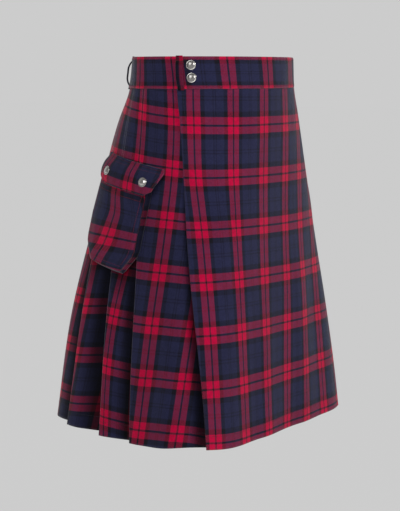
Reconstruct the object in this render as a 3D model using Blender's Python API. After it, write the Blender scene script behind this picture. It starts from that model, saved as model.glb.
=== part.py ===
"""Utility kilt, filled out as it is worn: a flat front apron over two pleated panels on a waistband.

Metres, +Z up. The front faces -Y and the wearer's right side is -X. The origin is the middle of the
waistband. Every cloth piece is a thin wall carried on the same rings: a ring is a closed curve round
the body at one depth below the waistband, and a point on it is given by its side of the body, its arc
from the side line (negative to the front, positive to the back) and how far it stands out.
"""
import functools
import math

import bmesh
import bpy
import numpy as np
from mathutils import Vector

BAND_HEIGHT = 0.050
BAND_BOTTOM = -BAND_HEIGHT / 2
SKIRT_LENGTH = 0.571
SEAM_GAP = 0.0003
CLOTH = 0.0012
BAND_CLOTH = 0.0028
MITRE_LIMIT = 1.35

# The rings: half sizes from the middle of the body and how square each half is (2 is an ellipse).
SECTION_COLUMNS = ("depth", "side", "front", "back", "front_power", "back_power")
SECTION_ROWS = np.array([
    (-BAND_HEIGHT, 0.158, 0.1175, 0.1100, 2.1, 2.1),
    (0.0, 0.162, 0.1192, 0.1175, 2.1, 2.1),
    (0.055, 0.169, 0.1205, 0.1390, 2.3, 2.3),
    (0.219, 0.187, 0.1210, 0.1870, 3.2, 2.7),
    (0.383, 0.205, 0.1260, 0.2350, 4.0, 3.1),
    (SKIRT_LENGTH, 0.219, 0.1320, 0.2705, 4.8, 3.4),
])
# The hem hangs a little to the wearer's left of the waist, and a little turned, and it rises a
# little beside the apron on the wearer's right.
HEM_SHIFT = 0.025
HEM_TURN = math.radians(-6.0)
HEM_LIFT = 0.010
HEM_LIFT_ARC = -0.100
HEM_LIFT_REACH = 0.055
# The side cloth is pressed in where it comes out from under the apron's loose edge.
SIDE_PRESS = 0.012
SIDE_PRESS_ARCS = (-0.150, -0.050)
RIGHT, LEFT = -1, 1
SIDES = (("right", RIGHT), ("left", LEFT))

APRON_HALF = 0.188
APRON_SWELL = 0.006
APRON_OUT = 0.0034
APRON_RETURN = 0.022
APRON_LAYER = 0.0015
APRON_SHORTER = 0.001
APRON_RELEASE = 0.140
APRON_LIFT = 0.0012
APRON_EDGE_LIFT = 0.0045
APRON_EDGE_REACH = 0.045
APRON_WAVE = 0.0024
APRON_WAVE_LENGTH = 0.125
APRON_WAVE_SHIFT = 0.012
APRON_WAVE_START = 0.33
UNDERLAP = 0.038
CLOTH_DEPTHS = (SEAM_GAP, 0.050, 0.100, 0.140, 0.180, 0.220, 0.280, 0.360, 0.460, SKIRT_LENGTH)
APRON_DEPTHS = CLOTH_DEPTHS[:-1] + (SKIRT_LENGTH - APRON_SHORTER,)

# Knife pleats of one side, from the pocket to the centre back, each fold facing the back. The
# overlaps and steps are those at the hem.
PLEAT_COLUMNS = ("arc_at_waist", "arc_at_hem", "overlap", "step")
PLEAT_ROWS = np.array([
    (0.024, 0.015, 0.021, 0.0230),
    (0.057, 0.086, 0.024, 0.0360),
    (0.090, 0.174, 0.021, 0.0270),
    (0.123, 0.241, 0.024, 0.0230),
    (0.156, 0.308, 0.020, 0.0250),
    (0.189, 0.374, 0.023, 0.0220),
])
CENTRE_OVERLAP = 0.021
CENTRE_STEP = 0.0190
FOLD_RADIUS = 0.0026
PRESSED_SHARE = 0.45
CENTRE_CLEAR = 0.0020
FLAT_STEP = 0.0008
FLAT_REACH = 0.014
FLAT_NOSE = 0.003
OPEN_START, OPEN_END = 0.110, 0.245
RAMP_SHARES = np.array((0.28, 0.55, 0.80))
RAMP_POWER = 1.25

POCKET_ARC = 0.0475
POCKET_DEPTH = 0.112
POCKET_TILT = math.radians(10.0)
POCKET_SEAT = CLOTH / 2 + 2 * SEAM_GAP


def section(depth):
    """Sizes of the ring at a depth: each column of the table as a cubic through its rows."""
    rows = SECTION_ROWS
    depths = rows[:, 0]
    slopes = np.gradient(rows, depths, axis=0)
    i = int(np.clip(np.searchsorted(depths, depth) - 1, 0, len(depths) - 2))
    span = depths[i + 1] - depths[i]
    t = np.clip((depth - depths[i]) / span, 0.0, 1.0)
    value = ((2 * t**3 - 3 * t**2 + 1) * rows[i] + (t**3 - 2 * t**2 + t) * span * slopes[i]
             + (3 * t**2 - 2 * t**3) * rows[i + 1] + (t**3 - t**2) * span * slopes[i + 1])
    return dict(zip(SECTION_COLUMNS, value))


@functools.lru_cache(maxsize=None)
def half_ring(depth):
    """Arc from the side line, points and outward normals of half a ring, centre front to back."""
    size = section(depth)
    angle = np.radians(np.linspace(-90.0, 90.0, 721))
    power = np.where(angle < 0, size["front_power"], size["back_power"])
    half = np.where(angle < 0, size["front"], size["back"])
    terms = np.abs(np.cos(angle) / size["side"])**power + np.abs(np.sin(angle) / half)**power
    radius = terms**(-1 / power)
    points = np.stack([radius * np.cos(angle), radius * np.sin(angle)], axis=1)
    steps = np.linalg.norm(np.diff(points, axis=0), axis=1)
    arc = np.concatenate([[0.0], np.cumsum(steps)])
    tangent = np.gradient(points, arc, axis=0)
    normal = np.stack([tangent[:, 1], -tangent[:, 0]], axis=1)
    normal /= np.linalg.norm(normal, axis=1)[:, None]
    return arc - np.interp(0.0, angle, arc), points, normal


def front_arc(depth):
    """Length of the ring from the centre front to the side line."""
    return -half_ring(depth)[0][0]


def back_arc(depth):
    """Length of the ring from the side line to the centre back."""
    return half_ring(depth)[0][-1]


def place(side, arc, out, depth):
    """World points at an arc of one side, standing out from the ring at one depth."""
    arcs, points, normals = half_ring(round(float(depth), 6))
    arc = np.asarray(arc, float)
    xy = np.stack([np.interp(arc, arcs, points[:, k]) for k in (0, 1)], axis=-1)
    normal = np.stack([np.interp(arc, arcs, normals[:, k]) for k in (0, 1)], axis=-1)
    normal /= np.linalg.norm(normal, axis=-1)[..., None]
    xy = xy + np.asarray(out)[..., None] * normal
    x = xy[..., 0] * side
    y = xy[..., 1]
    fall = max(depth, 0.0) / SKIRT_LENGTH
    turn = HEM_TURN * fall
    world_x = x * math.cos(turn) - y * math.sin(turn) + HEM_SHIFT * fall
    world_y = x * math.sin(turn) + y * math.cos(turn)
    near_apron = np.exp(-((arc - HEM_LIFT_ARC) / HEM_LIFT_REACH)**2)
    lift = HEM_LIFT * fall**3 * near_apron * (np.asarray(side) == RIGHT)
    return np.stack([world_x, world_y, BAND_BOTTOM - depth + lift], axis=-1)


def place_from_front(across, out, depth):
    """The same, by the distance from the centre front, positive to the wearer's left."""
    side = np.where(across < 0, RIGHT, LEFT)
    return place(side, np.abs(across) - front_arc(round(float(depth), 6)), out, depth)


def place_from_back(across, out, depth):
    """The same, by the distance from the centre back, positive to the wearer's left."""
    side = np.where(across < 0, RIGHT, LEFT)
    return place(side, back_arc(round(float(depth), 6)) - np.abs(across), out, depth)


def smooth(value, start, end):
    """Rise from 0 to 1 between start and end, level at both."""
    t = np.clip((value - start) / (end - start), 0.0, 1.0)
    return t * t * (3 - 2 * t)


def offset_path(path, distance):
    """A path of (along, out) points moved to its left, each corner on its mitre."""
    step = np.diff(path, axis=0)
    step /= np.linalg.norm(step, axis=1)[:, None]
    left = np.stack([-step[:, 1], step[:, 0]], axis=1)
    before = np.vstack([left[:1], left])
    after = np.vstack([left, left[-1:]])
    mitre = before + after
    mitre /= np.linalg.norm(mitre, axis=1)[:, None]
    stretch = np.clip(1 / np.sum(mitre * after, axis=1), 1.0, MITRE_LIMIT)
    return path + distance * mitre * stretch[:, None]


def material(name, colour, roughness, metallic=0.0):
    """A plain Principled finish of one piece."""
    finish = bpy.data.materials.new(name)
    finish.use_nodes = True
    shader = finish.node_tree.nodes["Principled BSDF"]
    shader.inputs["Base Color"].default_value = (*colour, 1.0)
    shader.inputs["Roughness"].default_value = roughness
    shader.inputs["Metallic"].default_value = metallic
    return finish


def add_object(name, vertices, faces, finish):
    """One closed piece, with its faces turned outwards."""
    mesh = bpy.data.meshes.new(name)
    mesh.from_pydata([tuple(v) for v in vertices], [], faces)
    work = bmesh.new()
    work.from_mesh(mesh)
    bmesh.ops.recalc_face_normals(work, faces=work.faces)
    bmesh.ops.triangulate(work, faces=work.faces)
    work.to_mesh(mesh)
    work.free()
    mesh.shade_smooth()
    mesh.set_sharp_from_angle(angle=math.radians(50))
    mesh.materials.append(material(name + "_finish", *finish))
    piece = bpy.data.objects.new(name, mesh)
    bpy.context.scene.collection.objects.link(piece)
    return piece


def add_wall(name, outer, inner, finish):
    """A closed wall between two grids of points, rows by columns."""
    outer = np.asarray(outer)
    inner = np.asarray(inner)
    rows, columns, _ = outer.shape
    index = np.arange(rows * columns).reshape(rows, columns)
    back = index + rows * columns
    faces = []
    for i in range(rows - 1):
        for j in range(columns - 1):
            faces.append((index[i, j], index[i + 1, j], index[i + 1, j + 1], index[i, j + 1]))
            faces.append((back[i, j], back[i, j + 1], back[i + 1, j + 1], back[i + 1, j]))
    edge = list(index[0, :]) + list(index[1:, -1])
    edge += list(index[-1, -2::-1]) + list(index[-2:0:-1, 0])
    for a, b in zip(edge, edge[1:] + edge[:1]):
        faces.append((a, b, b + rows * columns, a + rows * columns))
    vertices = np.concatenate([outer.reshape(-1, 3), inner.reshape(-1, 3)])
    faces = [tuple(int(k) for k in face) for face in faces]
    return add_object(name, vertices, faces, finish)


def add_cloth(name, paths, depths, placer, thickness, finish):
    """A cloth wall: one path of (along, out) points a row, with half the thickness on each side."""
    outer = [placer(p[:, 0], p[:, 1], d)
             for p, d in zip((offset_path(path, thickness / 2) for path in paths), depths)]
    inner = [placer(p[:, 0], p[:, 1], d)
             for p, d in zip((offset_path(path, -thickness / 2) for path in paths), depths)]
    return add_wall(name, outer, inner, finish)


for old in list(bpy.data.objects):
    bpy.data.objects.remove(old, do_unlink=True)

TARTAN = ((0.16, 0.03, 0.07), 0.9)
CHROME = ((0.62, 0.60, 0.58), 0.25, 1.0)


# Front apron: a flat cloth over the whole front, its side edges turned under, loose below the hip.
def apron_half(depth):
    """Half the apron's width at a depth: a little fuller at the middle of its length."""
    return APRON_HALF + APRON_SWELL * math.sin(math.pi * min(depth / SKIRT_LENGTH, 1.0))**2


def apron_out(across, depth):
    """Height of the apron over the ring: flat above, loose edges and soft waves near the hem."""
    loose = smooth(depth, APRON_RELEASE, SKIRT_LENGTH)
    edge = np.exp(-(apron_half(depth) - np.abs(across)) / APRON_EDGE_REACH)
    waves = np.cos(2 * math.pi * (across + APRON_WAVE_SHIFT) / APRON_WAVE_LENGTH)
    waves = waves * smooth(depth, APRON_WAVE_START, SKIRT_LENGTH) * (1 - edge)
    return APRON_OUT + (APRON_EDGE_LIFT * edge + APRON_LIFT) * loose + APRON_WAVE * waves


def apron_path(depth):
    """Across the front with both edges turned under: layer, fold, face, fold, layer."""
    turn = np.radians((-90.0, -30.0, 30.0, 90.0))
    nose = APRON_LAYER / 2
    half = apron_half(depth)
    inner_edge = half - APRON_RETURN
    fold_along = half - nose + nose * np.cos(turn)
    fold_drop = nose - nose * np.sin(turn)
    right_along = np.concatenate([[inner_edge], fold_along])
    right_drop = np.concatenate([[APRON_LAYER], fold_drop])
    face = np.linspace(-half + 0.010, half - 0.010, 37)
    along = np.concatenate([-right_along, face, right_along[::-1]])
    drop = np.concatenate([right_drop, np.zeros(len(face)), right_drop[::-1]])
    return np.stack([along, apron_out(along, depth) - drop], axis=1)


add_cloth("front_apron", [apron_path(d) for d in APRON_DEPTHS], APRON_DEPTHS, place_from_front,
          CLOTH, TARTAN)


# Pleated panels: side and back of each half in one cloth, folded in knife pleats that open below.
def fold_points(edge, overlap, step, opening):
    """One knife pleat: round its nose at the edge, back under, and round the inner fold."""
    nose_turn = np.radians((90.0, 30.0, -30.0, -90.0))
    inner_turn = np.radians((90.0, 0.0, -90.0))
    radius = min(step / 4, FOLD_RADIUS)
    nose_fold = edge - radius + radius * np.cos(nose_turn)
    nose_flat = edge + FLAT_NOSE * np.linspace(-1, 1, 4)
    nose_out = radius * (np.sin(nose_turn) - 1)
    inner_fold = edge - overlap + radius - radius * np.cos(inner_turn)
    inner_flat = edge + FLAT_REACH + FLAT_NOSE * np.linspace(-1, 1, 3)
    inner_out = -step + radius * (np.sin(inner_turn) + 1)
    nose = (1 - opening) * nose_flat + opening * nose_fold
    inner = (1 - opening) * inner_flat + opening * inner_fold
    return np.stack([np.concatenate([nose, inner]), np.concatenate([nose_out, inner_out])], axis=1)


def pleat_sizes(depth):
    """Edge, overlap and step of every pleat at a depth, the centre back one last."""
    fall = depth / SKIRT_LENGTH
    opening = float(smooth(depth, OPEN_START, OPEN_END))
    grown = PRESSED_SHARE + (1 - PRESSED_SHARE) * float(smooth(depth, OPEN_START, SKIRT_LENGTH))
    rows = []
    for row in PLEAT_ROWS:
        pleat = dict(zip(PLEAT_COLUMNS, row))
        edge = pleat["arc_at_waist"] + (pleat["arc_at_hem"] - pleat["arc_at_waist"]) * fall
        step = FLAT_STEP + (pleat["step"] * grown - FLAT_STEP) * opening
        rows.append((edge, pleat["overlap"] * grown, step))
    centre = back_arc(round(float(depth), 6)) - CENTRE_CLEAR
    rows.append((centre - (1 - opening) * FLAT_REACH * 1.5, CENTRE_OVERLAP * grown,
                 FLAT_STEP + (CENTRE_STEP * grown - FLAT_STEP) * opening))
    return rows, opening


def pleat_path(depth):
    """From under the apron, over the side and through every pleat to the centre back."""
    rows, opening = pleat_sizes(depth)
    start = APRON_HALF - UNDERLAP - front_arc(round(float(depth), 6))
    smooth_part = np.linspace(start, rows[0][0] - 0.010, 17)
    press = SIDE_PRESS * opening * (depth / SKIRT_LENGTH) * (1 - smooth(smooth_part, *SIDE_PRESS_ARCS))
    points = [np.stack([smooth_part, -press], axis=1)]
    for i, (edge, overlap, step) in enumerate(rows):
        fold = fold_points(edge, overlap, step, opening)
        points.append(fold)
        last = fold[-1]
        if i < len(rows) - 1:
            face_end = rows[i + 1][0] - 0.006
            along = last[0] + (face_end - last[0]) * RAMP_SHARES
            points.append(np.stack([along, -step * (1 - RAMP_SHARES)**RAMP_POWER], axis=1))
        else:
            end = back_arc(round(float(depth), 6)) - SEAM_GAP / 2
            points.append(np.array([((last[0] + end) / 2, last[1]), (end, last[1])]))
    return np.concatenate(points)


for side_name, side in SIDES:
    add_cloth("pleated_panel_" + side_name, [pleat_path(d) for d in CLOTH_DEPTHS], CLOTH_DEPTHS,
              functools.partial(place, side), CLOTH, TARTAN)


# Waistband: a front piece that laps over the ends of the back piece on both sides.
BAND_DEPTHS = (-BAND_HEIGHT, -BAND_HEIGHT / 2, 0.0)
FRONT_BAND_OUT = 0.0035
BACK_BAND_OUT = 0.0002
BAND_HALF = 0.1865


def band_rows(half_width, out, columns):
    """The same level path for every row of a band."""
    along = np.linspace(-half_width, half_width, columns)
    return [np.stack([along, np.full(columns, out)], axis=1) for _ in BAND_DEPTHS]


add_cloth("waistband_front", band_rows(BAND_HALF, FRONT_BAND_OUT, 33), BAND_DEPTHS, place_from_front,
          BAND_CLOTH, TARTAN)
waist_half = front_arc(0.0) + back_arc(0.0)
BACK_BAND_HALF = waist_half - (BAND_HALF - UNDERLAP)
add_cloth("waistband_back", band_rows(BACK_BAND_HALF, BACK_BAND_OUT, 49), BAND_DEPTHS,
          place_from_back, BAND_CLOTH, TARTAN)


# Belt loops: narrow strips sewn at the top and just under the band, bowed off it between.
LOOP_WIDTH = 0.010
LOOP_CLOTH = 0.0016
LOOP_BOW = 0.0064
LOOP_ROWS = ((-0.0512, 0.0), (-0.0450, 0.0), (-0.0400, 0.55), (-0.0340, 0.93), (-0.0240, 1.0),
             (-0.0140, 0.93), (-0.0080, 0.55), (-0.0030, 0.0), (0.0020, 0.0))
LOOPS = (
    ("belt_loop_right_front", RIGHT, None, FRONT_BAND_OUT),
    ("belt_loop_right_back", RIGHT, 0.120, BACK_BAND_OUT),
    ("belt_loop_centre_back", LEFT, "centre", BACK_BAND_OUT),
    ("belt_loop_left_back", LEFT, 0.120, BACK_BAND_OUT),
    ("belt_loop_left_front", LEFT, None, FRONT_BAND_OUT),
)


def loop_point(side, where, across, out, depth):
    """A point of a loop: by the side line, or by the centre back for the middle one."""
    if where == "centre":
        return place_from_back(np.asarray(across), np.asarray(out), depth)
    level = min(max(depth, -BAND_HEIGHT), 0.0)
    arc = (BAND_HALF - LOOP_WIDTH / 2 - front_arc(round(level, 6))) if where is None else where
    return place(side, arc + np.asarray(across), out, depth)


for loop_name, side, where, band_out in LOOPS:
    seat = band_out + BAND_CLOTH / 2 + SEAM_GAP + LOOP_CLOTH / 2
    strip = np.array([(depth, seat + LOOP_BOW * bow) for depth, bow in LOOP_ROWS])
    across = np.linspace(-LOOP_WIDTH / 2, LOOP_WIDTH / 2, 3)
    faces_of_strip = []
    for distance in (LOOP_CLOTH / 2, -LOOP_CLOTH / 2):
        moved = offset_path(strip, distance)
        faces_of_strip.append([loop_point(side, where, across, np.full(3, out), depth)
                               for depth, out in moved])
    add_wall(loop_name, faces_of_strip[0], faces_of_strip[1], TARTAN)


# Pockets: on each side a bellows bag with an open mouth, under a flap with cut corners.
BAG_HALF = 0.060
BAG_INSET = 0.005
BAG_WALL = 0.0015
BAG_CROWN = 0.0012
BAG_TAPER_START = 0.150
BAG_COLUMNS = ("down", "half_width", "height")
BAG_ROWS = np.array([
    (0.018, BAG_HALF, 0.0078),
    (0.055, BAG_HALF, 0.0110),
    (0.100, BAG_HALF, 0.0140),
    (0.145, BAG_HALF, 0.0140),
    (0.155, 0.0575, 0.0140),
    (0.1810, 0.0400, 0.0120),
    (0.1870, 0.0345, 0.0000),
])
BAG_FACE_SHARES = np.linspace(-1.0, 1.0, 6)
FLAP_WALL = 0.0016
FLAP_SHIFT = -0.009
FLAP_DROOP = 0.0022
FLAP_DROOP_FROM, FLAP_DROOP_REACH = 0.052, 0.016
FLAP_SHARES = np.linspace(-1.0, 1.0, 9)
FLAP_COLUMNS = ("down", "half_width", "out")
FLAP_ROWS = np.array([
    (0.000, 0.0660, 0.0022),
    (0.006, 0.0680, 0.0058),
    (0.014, 0.0665, 0.0114),
    (0.023, 0.0640, 0.0146),
    (0.036, 0.0590, 0.0158),
    (0.045, 0.0450, 0.0155),
])


def place_on_pocket(side, across, down, out):
    """World points by the pocket's own tilted axes: across to the back, down, and out."""
    arc = POCKET_ARC + across * math.cos(POCKET_TILT) + down * math.sin(POCKET_TILT)
    depth = POCKET_DEPTH - across * math.sin(POCKET_TILT) + down * math.cos(POCKET_TILT)
    return np.array([place(side, a, o, d) for a, o, d in zip(arc, out, depth)])


def bag_grid(side, inset):
    """Rows of the bag, moved in by a wall for its inner face."""
    grid = []
    for row in BAG_ROWS:
        bag = dict(zip(BAG_COLUMNS, row))
        base = bag["half_width"] - inset
        face = (base - BAG_INSET) * BAG_FACE_SHARES
        height = 0.0
        if bag["height"] > 0:
            height = bag["height"] - inset + BAG_CROWN * (1 - (face / BAG_HALF)**2)
        across = np.concatenate([[-base], face, [base]])
        rise = np.zeros(len(across))
        rise[1:-1] = height
        level = bag["down"] - inset * (bag["down"] > BAG_TAPER_START)
        grid.append(place_on_pocket(side, across, np.full(len(across), level), POCKET_SEAT + rise))
    return grid


def flap_grid(side, lift):
    """Rows of the flap, its ends drooping past the bag."""
    grid = []
    for i, row in enumerate(FLAP_ROWS):
        flap = dict(zip(FLAP_COLUMNS, row))
        across = flap["half_width"] * FLAP_SHARES
        past_bag = np.clip((np.abs(across) - FLAP_DROOP_FROM) / FLAP_DROOP_REACH, 0, 1)
        out = flap["out"] + lift - (FLAP_DROOP * past_bag**2 if i > 0 else 0.0)
        down = np.full(len(across), flap["down"])
        grid.append(place_on_pocket(side, across + FLAP_SHIFT, down, out + 0 * across))
    return grid


def flap_out(down):
    """Middle of the flap's cloth at a distance down from its seam."""
    return np.interp(down, FLAP_ROWS[:, 0], FLAP_ROWS[:, 2])


for side_name, side in SIDES:
    add_wall("pocket_bag_" + side_name, bag_grid(side, 0.0), bag_grid(side, BAG_WALL), TARTAN)
    add_wall("pocket_flap_" + side_name, flap_grid(side, FLAP_WALL / 2),
             flap_grid(side, -FLAP_WALL / 2), TARTAN)


# Press studs: domed caps with a rolled rim, two on each flap and two at each end of the front band.
CAP_RADIUS = 0.0076
CAP_PROFILE = ((0.0, 0.0), (0.98, 0.0), (1.0, 0.0008), (0.82, 0.0012), (0.68, 0.0019),
               (0.40, 0.0028), (0.0, 0.0031))
CAP_SEGMENTS = 16
CAP_SEAT_GAP = 0.0004
CAP_HALF_STEP = 0.004
FLAP_CAP_ACROSS = 0.040
FLAP_CAP_DOWN = 0.0245
BAND_CAP_FROM_END = 0.0215
BAND_CAP_DEPTHS = (-0.0367, -0.0173)


def add_cap(name, centre, axis):
    """A cap turned from its profile about its own axis, standing on its seat."""
    turn = Vector((0, 0, 1)).rotation_difference(Vector(axis).normalized()).to_matrix()
    vertices = []
    faces = []
    for radius, height in CAP_PROFILE:
        if radius == 0.0:
            vertices.append((0.0, 0.0, height))
            continue
        for k in range(CAP_SEGMENTS):
            angle = 2 * math.pi * k / CAP_SEGMENTS
            vertices.append((CAP_RADIUS * radius * math.cos(angle),
                             CAP_RADIUS * radius * math.sin(angle), height))
    rings = len(CAP_PROFILE) - 2
    top = len(vertices) - 1
    for k in range(CAP_SEGMENTS):
        following = (k + 1) % CAP_SEGMENTS
        faces.append((0, 1 + following, 1 + k))
        faces.append((top, 1 + (rings - 1) * CAP_SEGMENTS + k,
                      1 + (rings - 1) * CAP_SEGMENTS + following))
        for ring in range(rings - 1):
            low = 1 + ring * CAP_SEGMENTS
            high = low + CAP_SEGMENTS
            faces.append((low + k, low + following, high + following, high + k))
    placed = [Vector(centre) + turn @ Vector(v) for v in vertices]
    add_object(name, placed, faces, CHROME)


def seat_and_axis(point_at):
    """Centre of a cap's seat and the way it faces, from a surface point function of (u, v)."""
    centre = point_at(0.0, 0.0)
    one = point_at(CAP_HALF_STEP, 0.0) - point_at(-CAP_HALF_STEP, 0.0)
    two = point_at(0.0, CAP_HALF_STEP) - point_at(0.0, -CAP_HALF_STEP)
    axis = np.cross(one, two)
    return centre, axis / np.linalg.norm(axis)


for side_name, side in SIDES:
    for end_name, end in (("front", -1), ("back", 1)):
        def on_flap(u, v, end=end, side=side):
            """Point on the flap's outer face near this cap."""
            down = FLAP_CAP_DOWN + v
            out = flap_out(down) + FLAP_WALL / 2 + CAP_SEAT_GAP
            across = FLAP_SHIFT + end * FLAP_CAP_ACROSS + u
            return place_on_pocket(side, np.array([across]), np.array([down]), np.array([out]))[0]
        centre, axis = seat_and_axis(on_flap)
        outward = Vector(axis) if Vector(axis).dot(Vector((side, 0, 0))) > 0 else -Vector(axis)
        add_cap("flap_stud_" + side_name + "_" + end_name, centre, outward)
    for level_name, level in zip(("upper", "lower"), BAND_CAP_DEPTHS):
        def on_band(u, v, level=level, side=side):
            """Point on the front band's outer face near this cap."""
            out = FRONT_BAND_OUT + BAND_CLOTH / 2 + CAP_SEAT_GAP
            return place_from_front(np.array(side * (BAND_HALF - BAND_CAP_FROM_END) + u),
                                    np.array(out), level + v)
        centre, axis = seat_and_axis(on_band)
        outward = Vector(axis) if Vector(axis).dot(Vector((side, 0, 0))) > 0 else -Vector(axis)
        add_cap("band_stud_" + side_name + "_" + level_name, centre, outward)
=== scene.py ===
"""Looks of a tartan utility kilt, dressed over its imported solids.

Metres, +Z up, the front faces -Y and the wearer's right is -X. The origin is the middle of the waistband.
"""
import functools
import math

import bpy
import numpy as np
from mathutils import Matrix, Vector


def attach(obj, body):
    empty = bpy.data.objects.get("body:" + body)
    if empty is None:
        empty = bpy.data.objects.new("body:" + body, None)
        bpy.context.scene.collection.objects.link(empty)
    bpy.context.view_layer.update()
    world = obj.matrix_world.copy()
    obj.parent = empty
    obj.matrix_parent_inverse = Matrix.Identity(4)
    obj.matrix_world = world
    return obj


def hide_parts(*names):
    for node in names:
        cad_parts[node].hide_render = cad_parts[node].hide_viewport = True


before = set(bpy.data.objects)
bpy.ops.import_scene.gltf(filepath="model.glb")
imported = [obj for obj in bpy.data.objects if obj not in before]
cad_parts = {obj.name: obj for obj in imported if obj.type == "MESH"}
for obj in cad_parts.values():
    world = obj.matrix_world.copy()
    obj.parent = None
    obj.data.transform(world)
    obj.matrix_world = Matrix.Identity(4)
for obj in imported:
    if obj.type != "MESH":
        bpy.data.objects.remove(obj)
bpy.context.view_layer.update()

# Studio: a pale grey floor under a soft grey sky, the main lamp from the camera's right and a weaker
# one from its left. The camera stands at the wearer's right front, level with the waistband, and
# looks a little down.
CAMERA_AZIMUTH = math.radians(-57.0)
CAMERA_PITCH = math.radians(8.504)
CAMERA_DISTANCE = 2.0786
CAMERA_ASIDE = 0.0202
CAMERA_HEIGHT = 0.0025
CAMERA_LENS = 86.93
SENSOR = 36.0

scene = bpy.context.scene
scene.view_settings.view_transform = "Standard"
aside = Vector((math.cos(CAMERA_AZIMUTH), math.sin(CAMERA_AZIMUTH), 0.0))
ahead = Vector((-math.sin(CAMERA_AZIMUTH), math.cos(CAMERA_AZIMUTH), 0.0))
upward = Vector((0.0, 0.0, 1.0))
camera = bpy.data.objects.new("camera", bpy.data.cameras.new("camera"))
scene.collection.objects.link(camera)
camera.data.sensor_width = SENSOR
camera.data.lens = CAMERA_LENS
camera.location = -aside * CAMERA_ASIDE - ahead * CAMERA_DISTANCE + upward * CAMERA_HEIGHT
camera_line = ahead * math.cos(CAMERA_PITCH) - upward * math.sin(CAMERA_PITCH)
camera.rotation_euler = camera_line.to_track_quat("-Z", "Y").to_euler()
scene.camera = camera

# Each square lamp's place from the kilt's middle, to the camera's right, up and towards the camera,
# its width and its watts.
KILT_MIDDLE = Vector((0.0, 0.0, -0.28))
LAMPS = (
    ("lamp_right", 2.0, 1.1, 1.4, 1.0, 28.0),
    ("lamp_left", -0.6, 1.2, 2.0, 1.3, 17.0),
)
for lamp_name, to_right, above, nearer, lamp_width, watts in LAMPS:
    lamp = bpy.data.objects.new(lamp_name, bpy.data.lights.new(lamp_name, "AREA"))
    scene.collection.objects.link(lamp)
    lamp.data.shape = "SQUARE"
    lamp.data.size = lamp_width
    lamp.data.energy = watts
    lamp.location = KILT_MIDDLE + aside * to_right + upward * above - ahead * nearer
    lamp.rotation_euler = (KILT_MIDDLE - lamp.location).to_track_quat("-Z", "Y").to_euler()


class Shade:
    """One socket of a node tree. Arithmetic on it adds Math nodes, and make adds any other node."""

    def __init__(self, tree, socket=None):
        self.tree = tree
        self.socket = socket

    def make(self, kind, settings, values, output=0):
        """A node with its settings and its sockets' values or links; returns one output."""
        node = self.tree.nodes.new(kind)
        for key, value in settings.items():
            setattr(node, key, value)
        for key, value in values.items():
            if isinstance(value, Shade):
                value.into(node, key)
            else:
                node.inputs[key].default_value = value
        return Shade(self.tree, node.outputs[output])

    def into(self, node, key):
        """Link this to a socket of a node."""
        self.tree.links.new(self.socket, node.inputs[key])

    def math(self, operation, *others):
        """This value and others through one Math node."""
        return self.make("ShaderNodeMath", {"operation": operation}, dict(enumerate((self, *others))))

    def __add__(self, other):
        return self.math("ADD", other)

    def __sub__(self, other):
        return self.math("SUBTRACT", other)

    def __rsub__(self, other):
        return self.make("ShaderNodeMath", {"operation": "SUBTRACT"}, {0: other, 1: self})

    def __mul__(self, other):
        return self.math("MULTIPLY", other)

    def __truediv__(self, other):
        return self.math("DIVIDE", other)

    __radd__ = __add__
    __rmul__ = __mul__

    def under(self, limit, soft):
        """1 where this is under a limit and 0 over it, across a soft edge."""
        return ((limit - self) / soft + 0.5).math("MAXIMUM", 0.0).math("MINIMUM", 1.0)

    def blend(self, first, second):
        """First colour where this is 0, second where it is 1."""
        return self.make("ShaderNodeMix", {"data_type": "RGBA"}, {0: self, 6: first, 7: second}, 2)

    def noise(self, scale, detail):
        """Cloudy noise at the object's own coordinates, from 0 to 1."""
        place = self.make("ShaderNodeTexCoord", {}, {}, 3)
        return self.make("ShaderNodeTexNoise", {}, {"Vector": place, "Scale": scale, "Detail": detail})

    def wear_and_painted_light(self):
        """Wear and painted light: on cloth up to 1 on rubbed edges and painted highlights, down to -1 for
        painted shade and shadows; on caps from 0 to 1 of painted shade and painted dark reflection.
        """
        return self.make("ShaderNodeAttribute", {"attribute_name": "wear_and_painted_light"}, {}, 2)


# The sky is bright behind the kilt and dimmer on the lamps' side: smooth in the cosine of its angle
# from the line ahead.
SKY_GREY = 0.604
DIM_SKY_GREY = 0.22
SKY_COSINES = (-0.1, 0.8)
sky = bpy.data.worlds.new("studio_sky")
sky.use_nodes = True
sky_way = Shade(sky.node_tree).make("ShaderNodeTexCoord", {}, {})
sky_cosine = sky_way.make("ShaderNodeVectorMath", {"operation": "DOT_PRODUCT"}, {0: sky_way, 1: ahead}, 1)
sky_grey = sky_cosine.make("ShaderNodeMapRange", {"interpolation_type": "SMOOTHSTEP"}, {
    "Value": sky_cosine, "From Min": SKY_COSINES[0], "From Max": SKY_COSINES[1],
    "To Min": DIM_SKY_GREY, "To Max": SKY_GREY})
sky_grey.into(sky.node_tree.nodes["Background"], "Color")
scene.world = sky


def new_finish(name, settings):
    """A material with constant values on its Principled sockets, that shader and a start for nodes."""
    finish = bpy.data.materials.new(name)
    finish.use_nodes = True
    shader = finish.node_tree.nodes["Principled BSDF"]
    for key, value in settings.items():
        shader.inputs[key].default_value = value
    return finish, shader, Shade(finish.node_tree)


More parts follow.
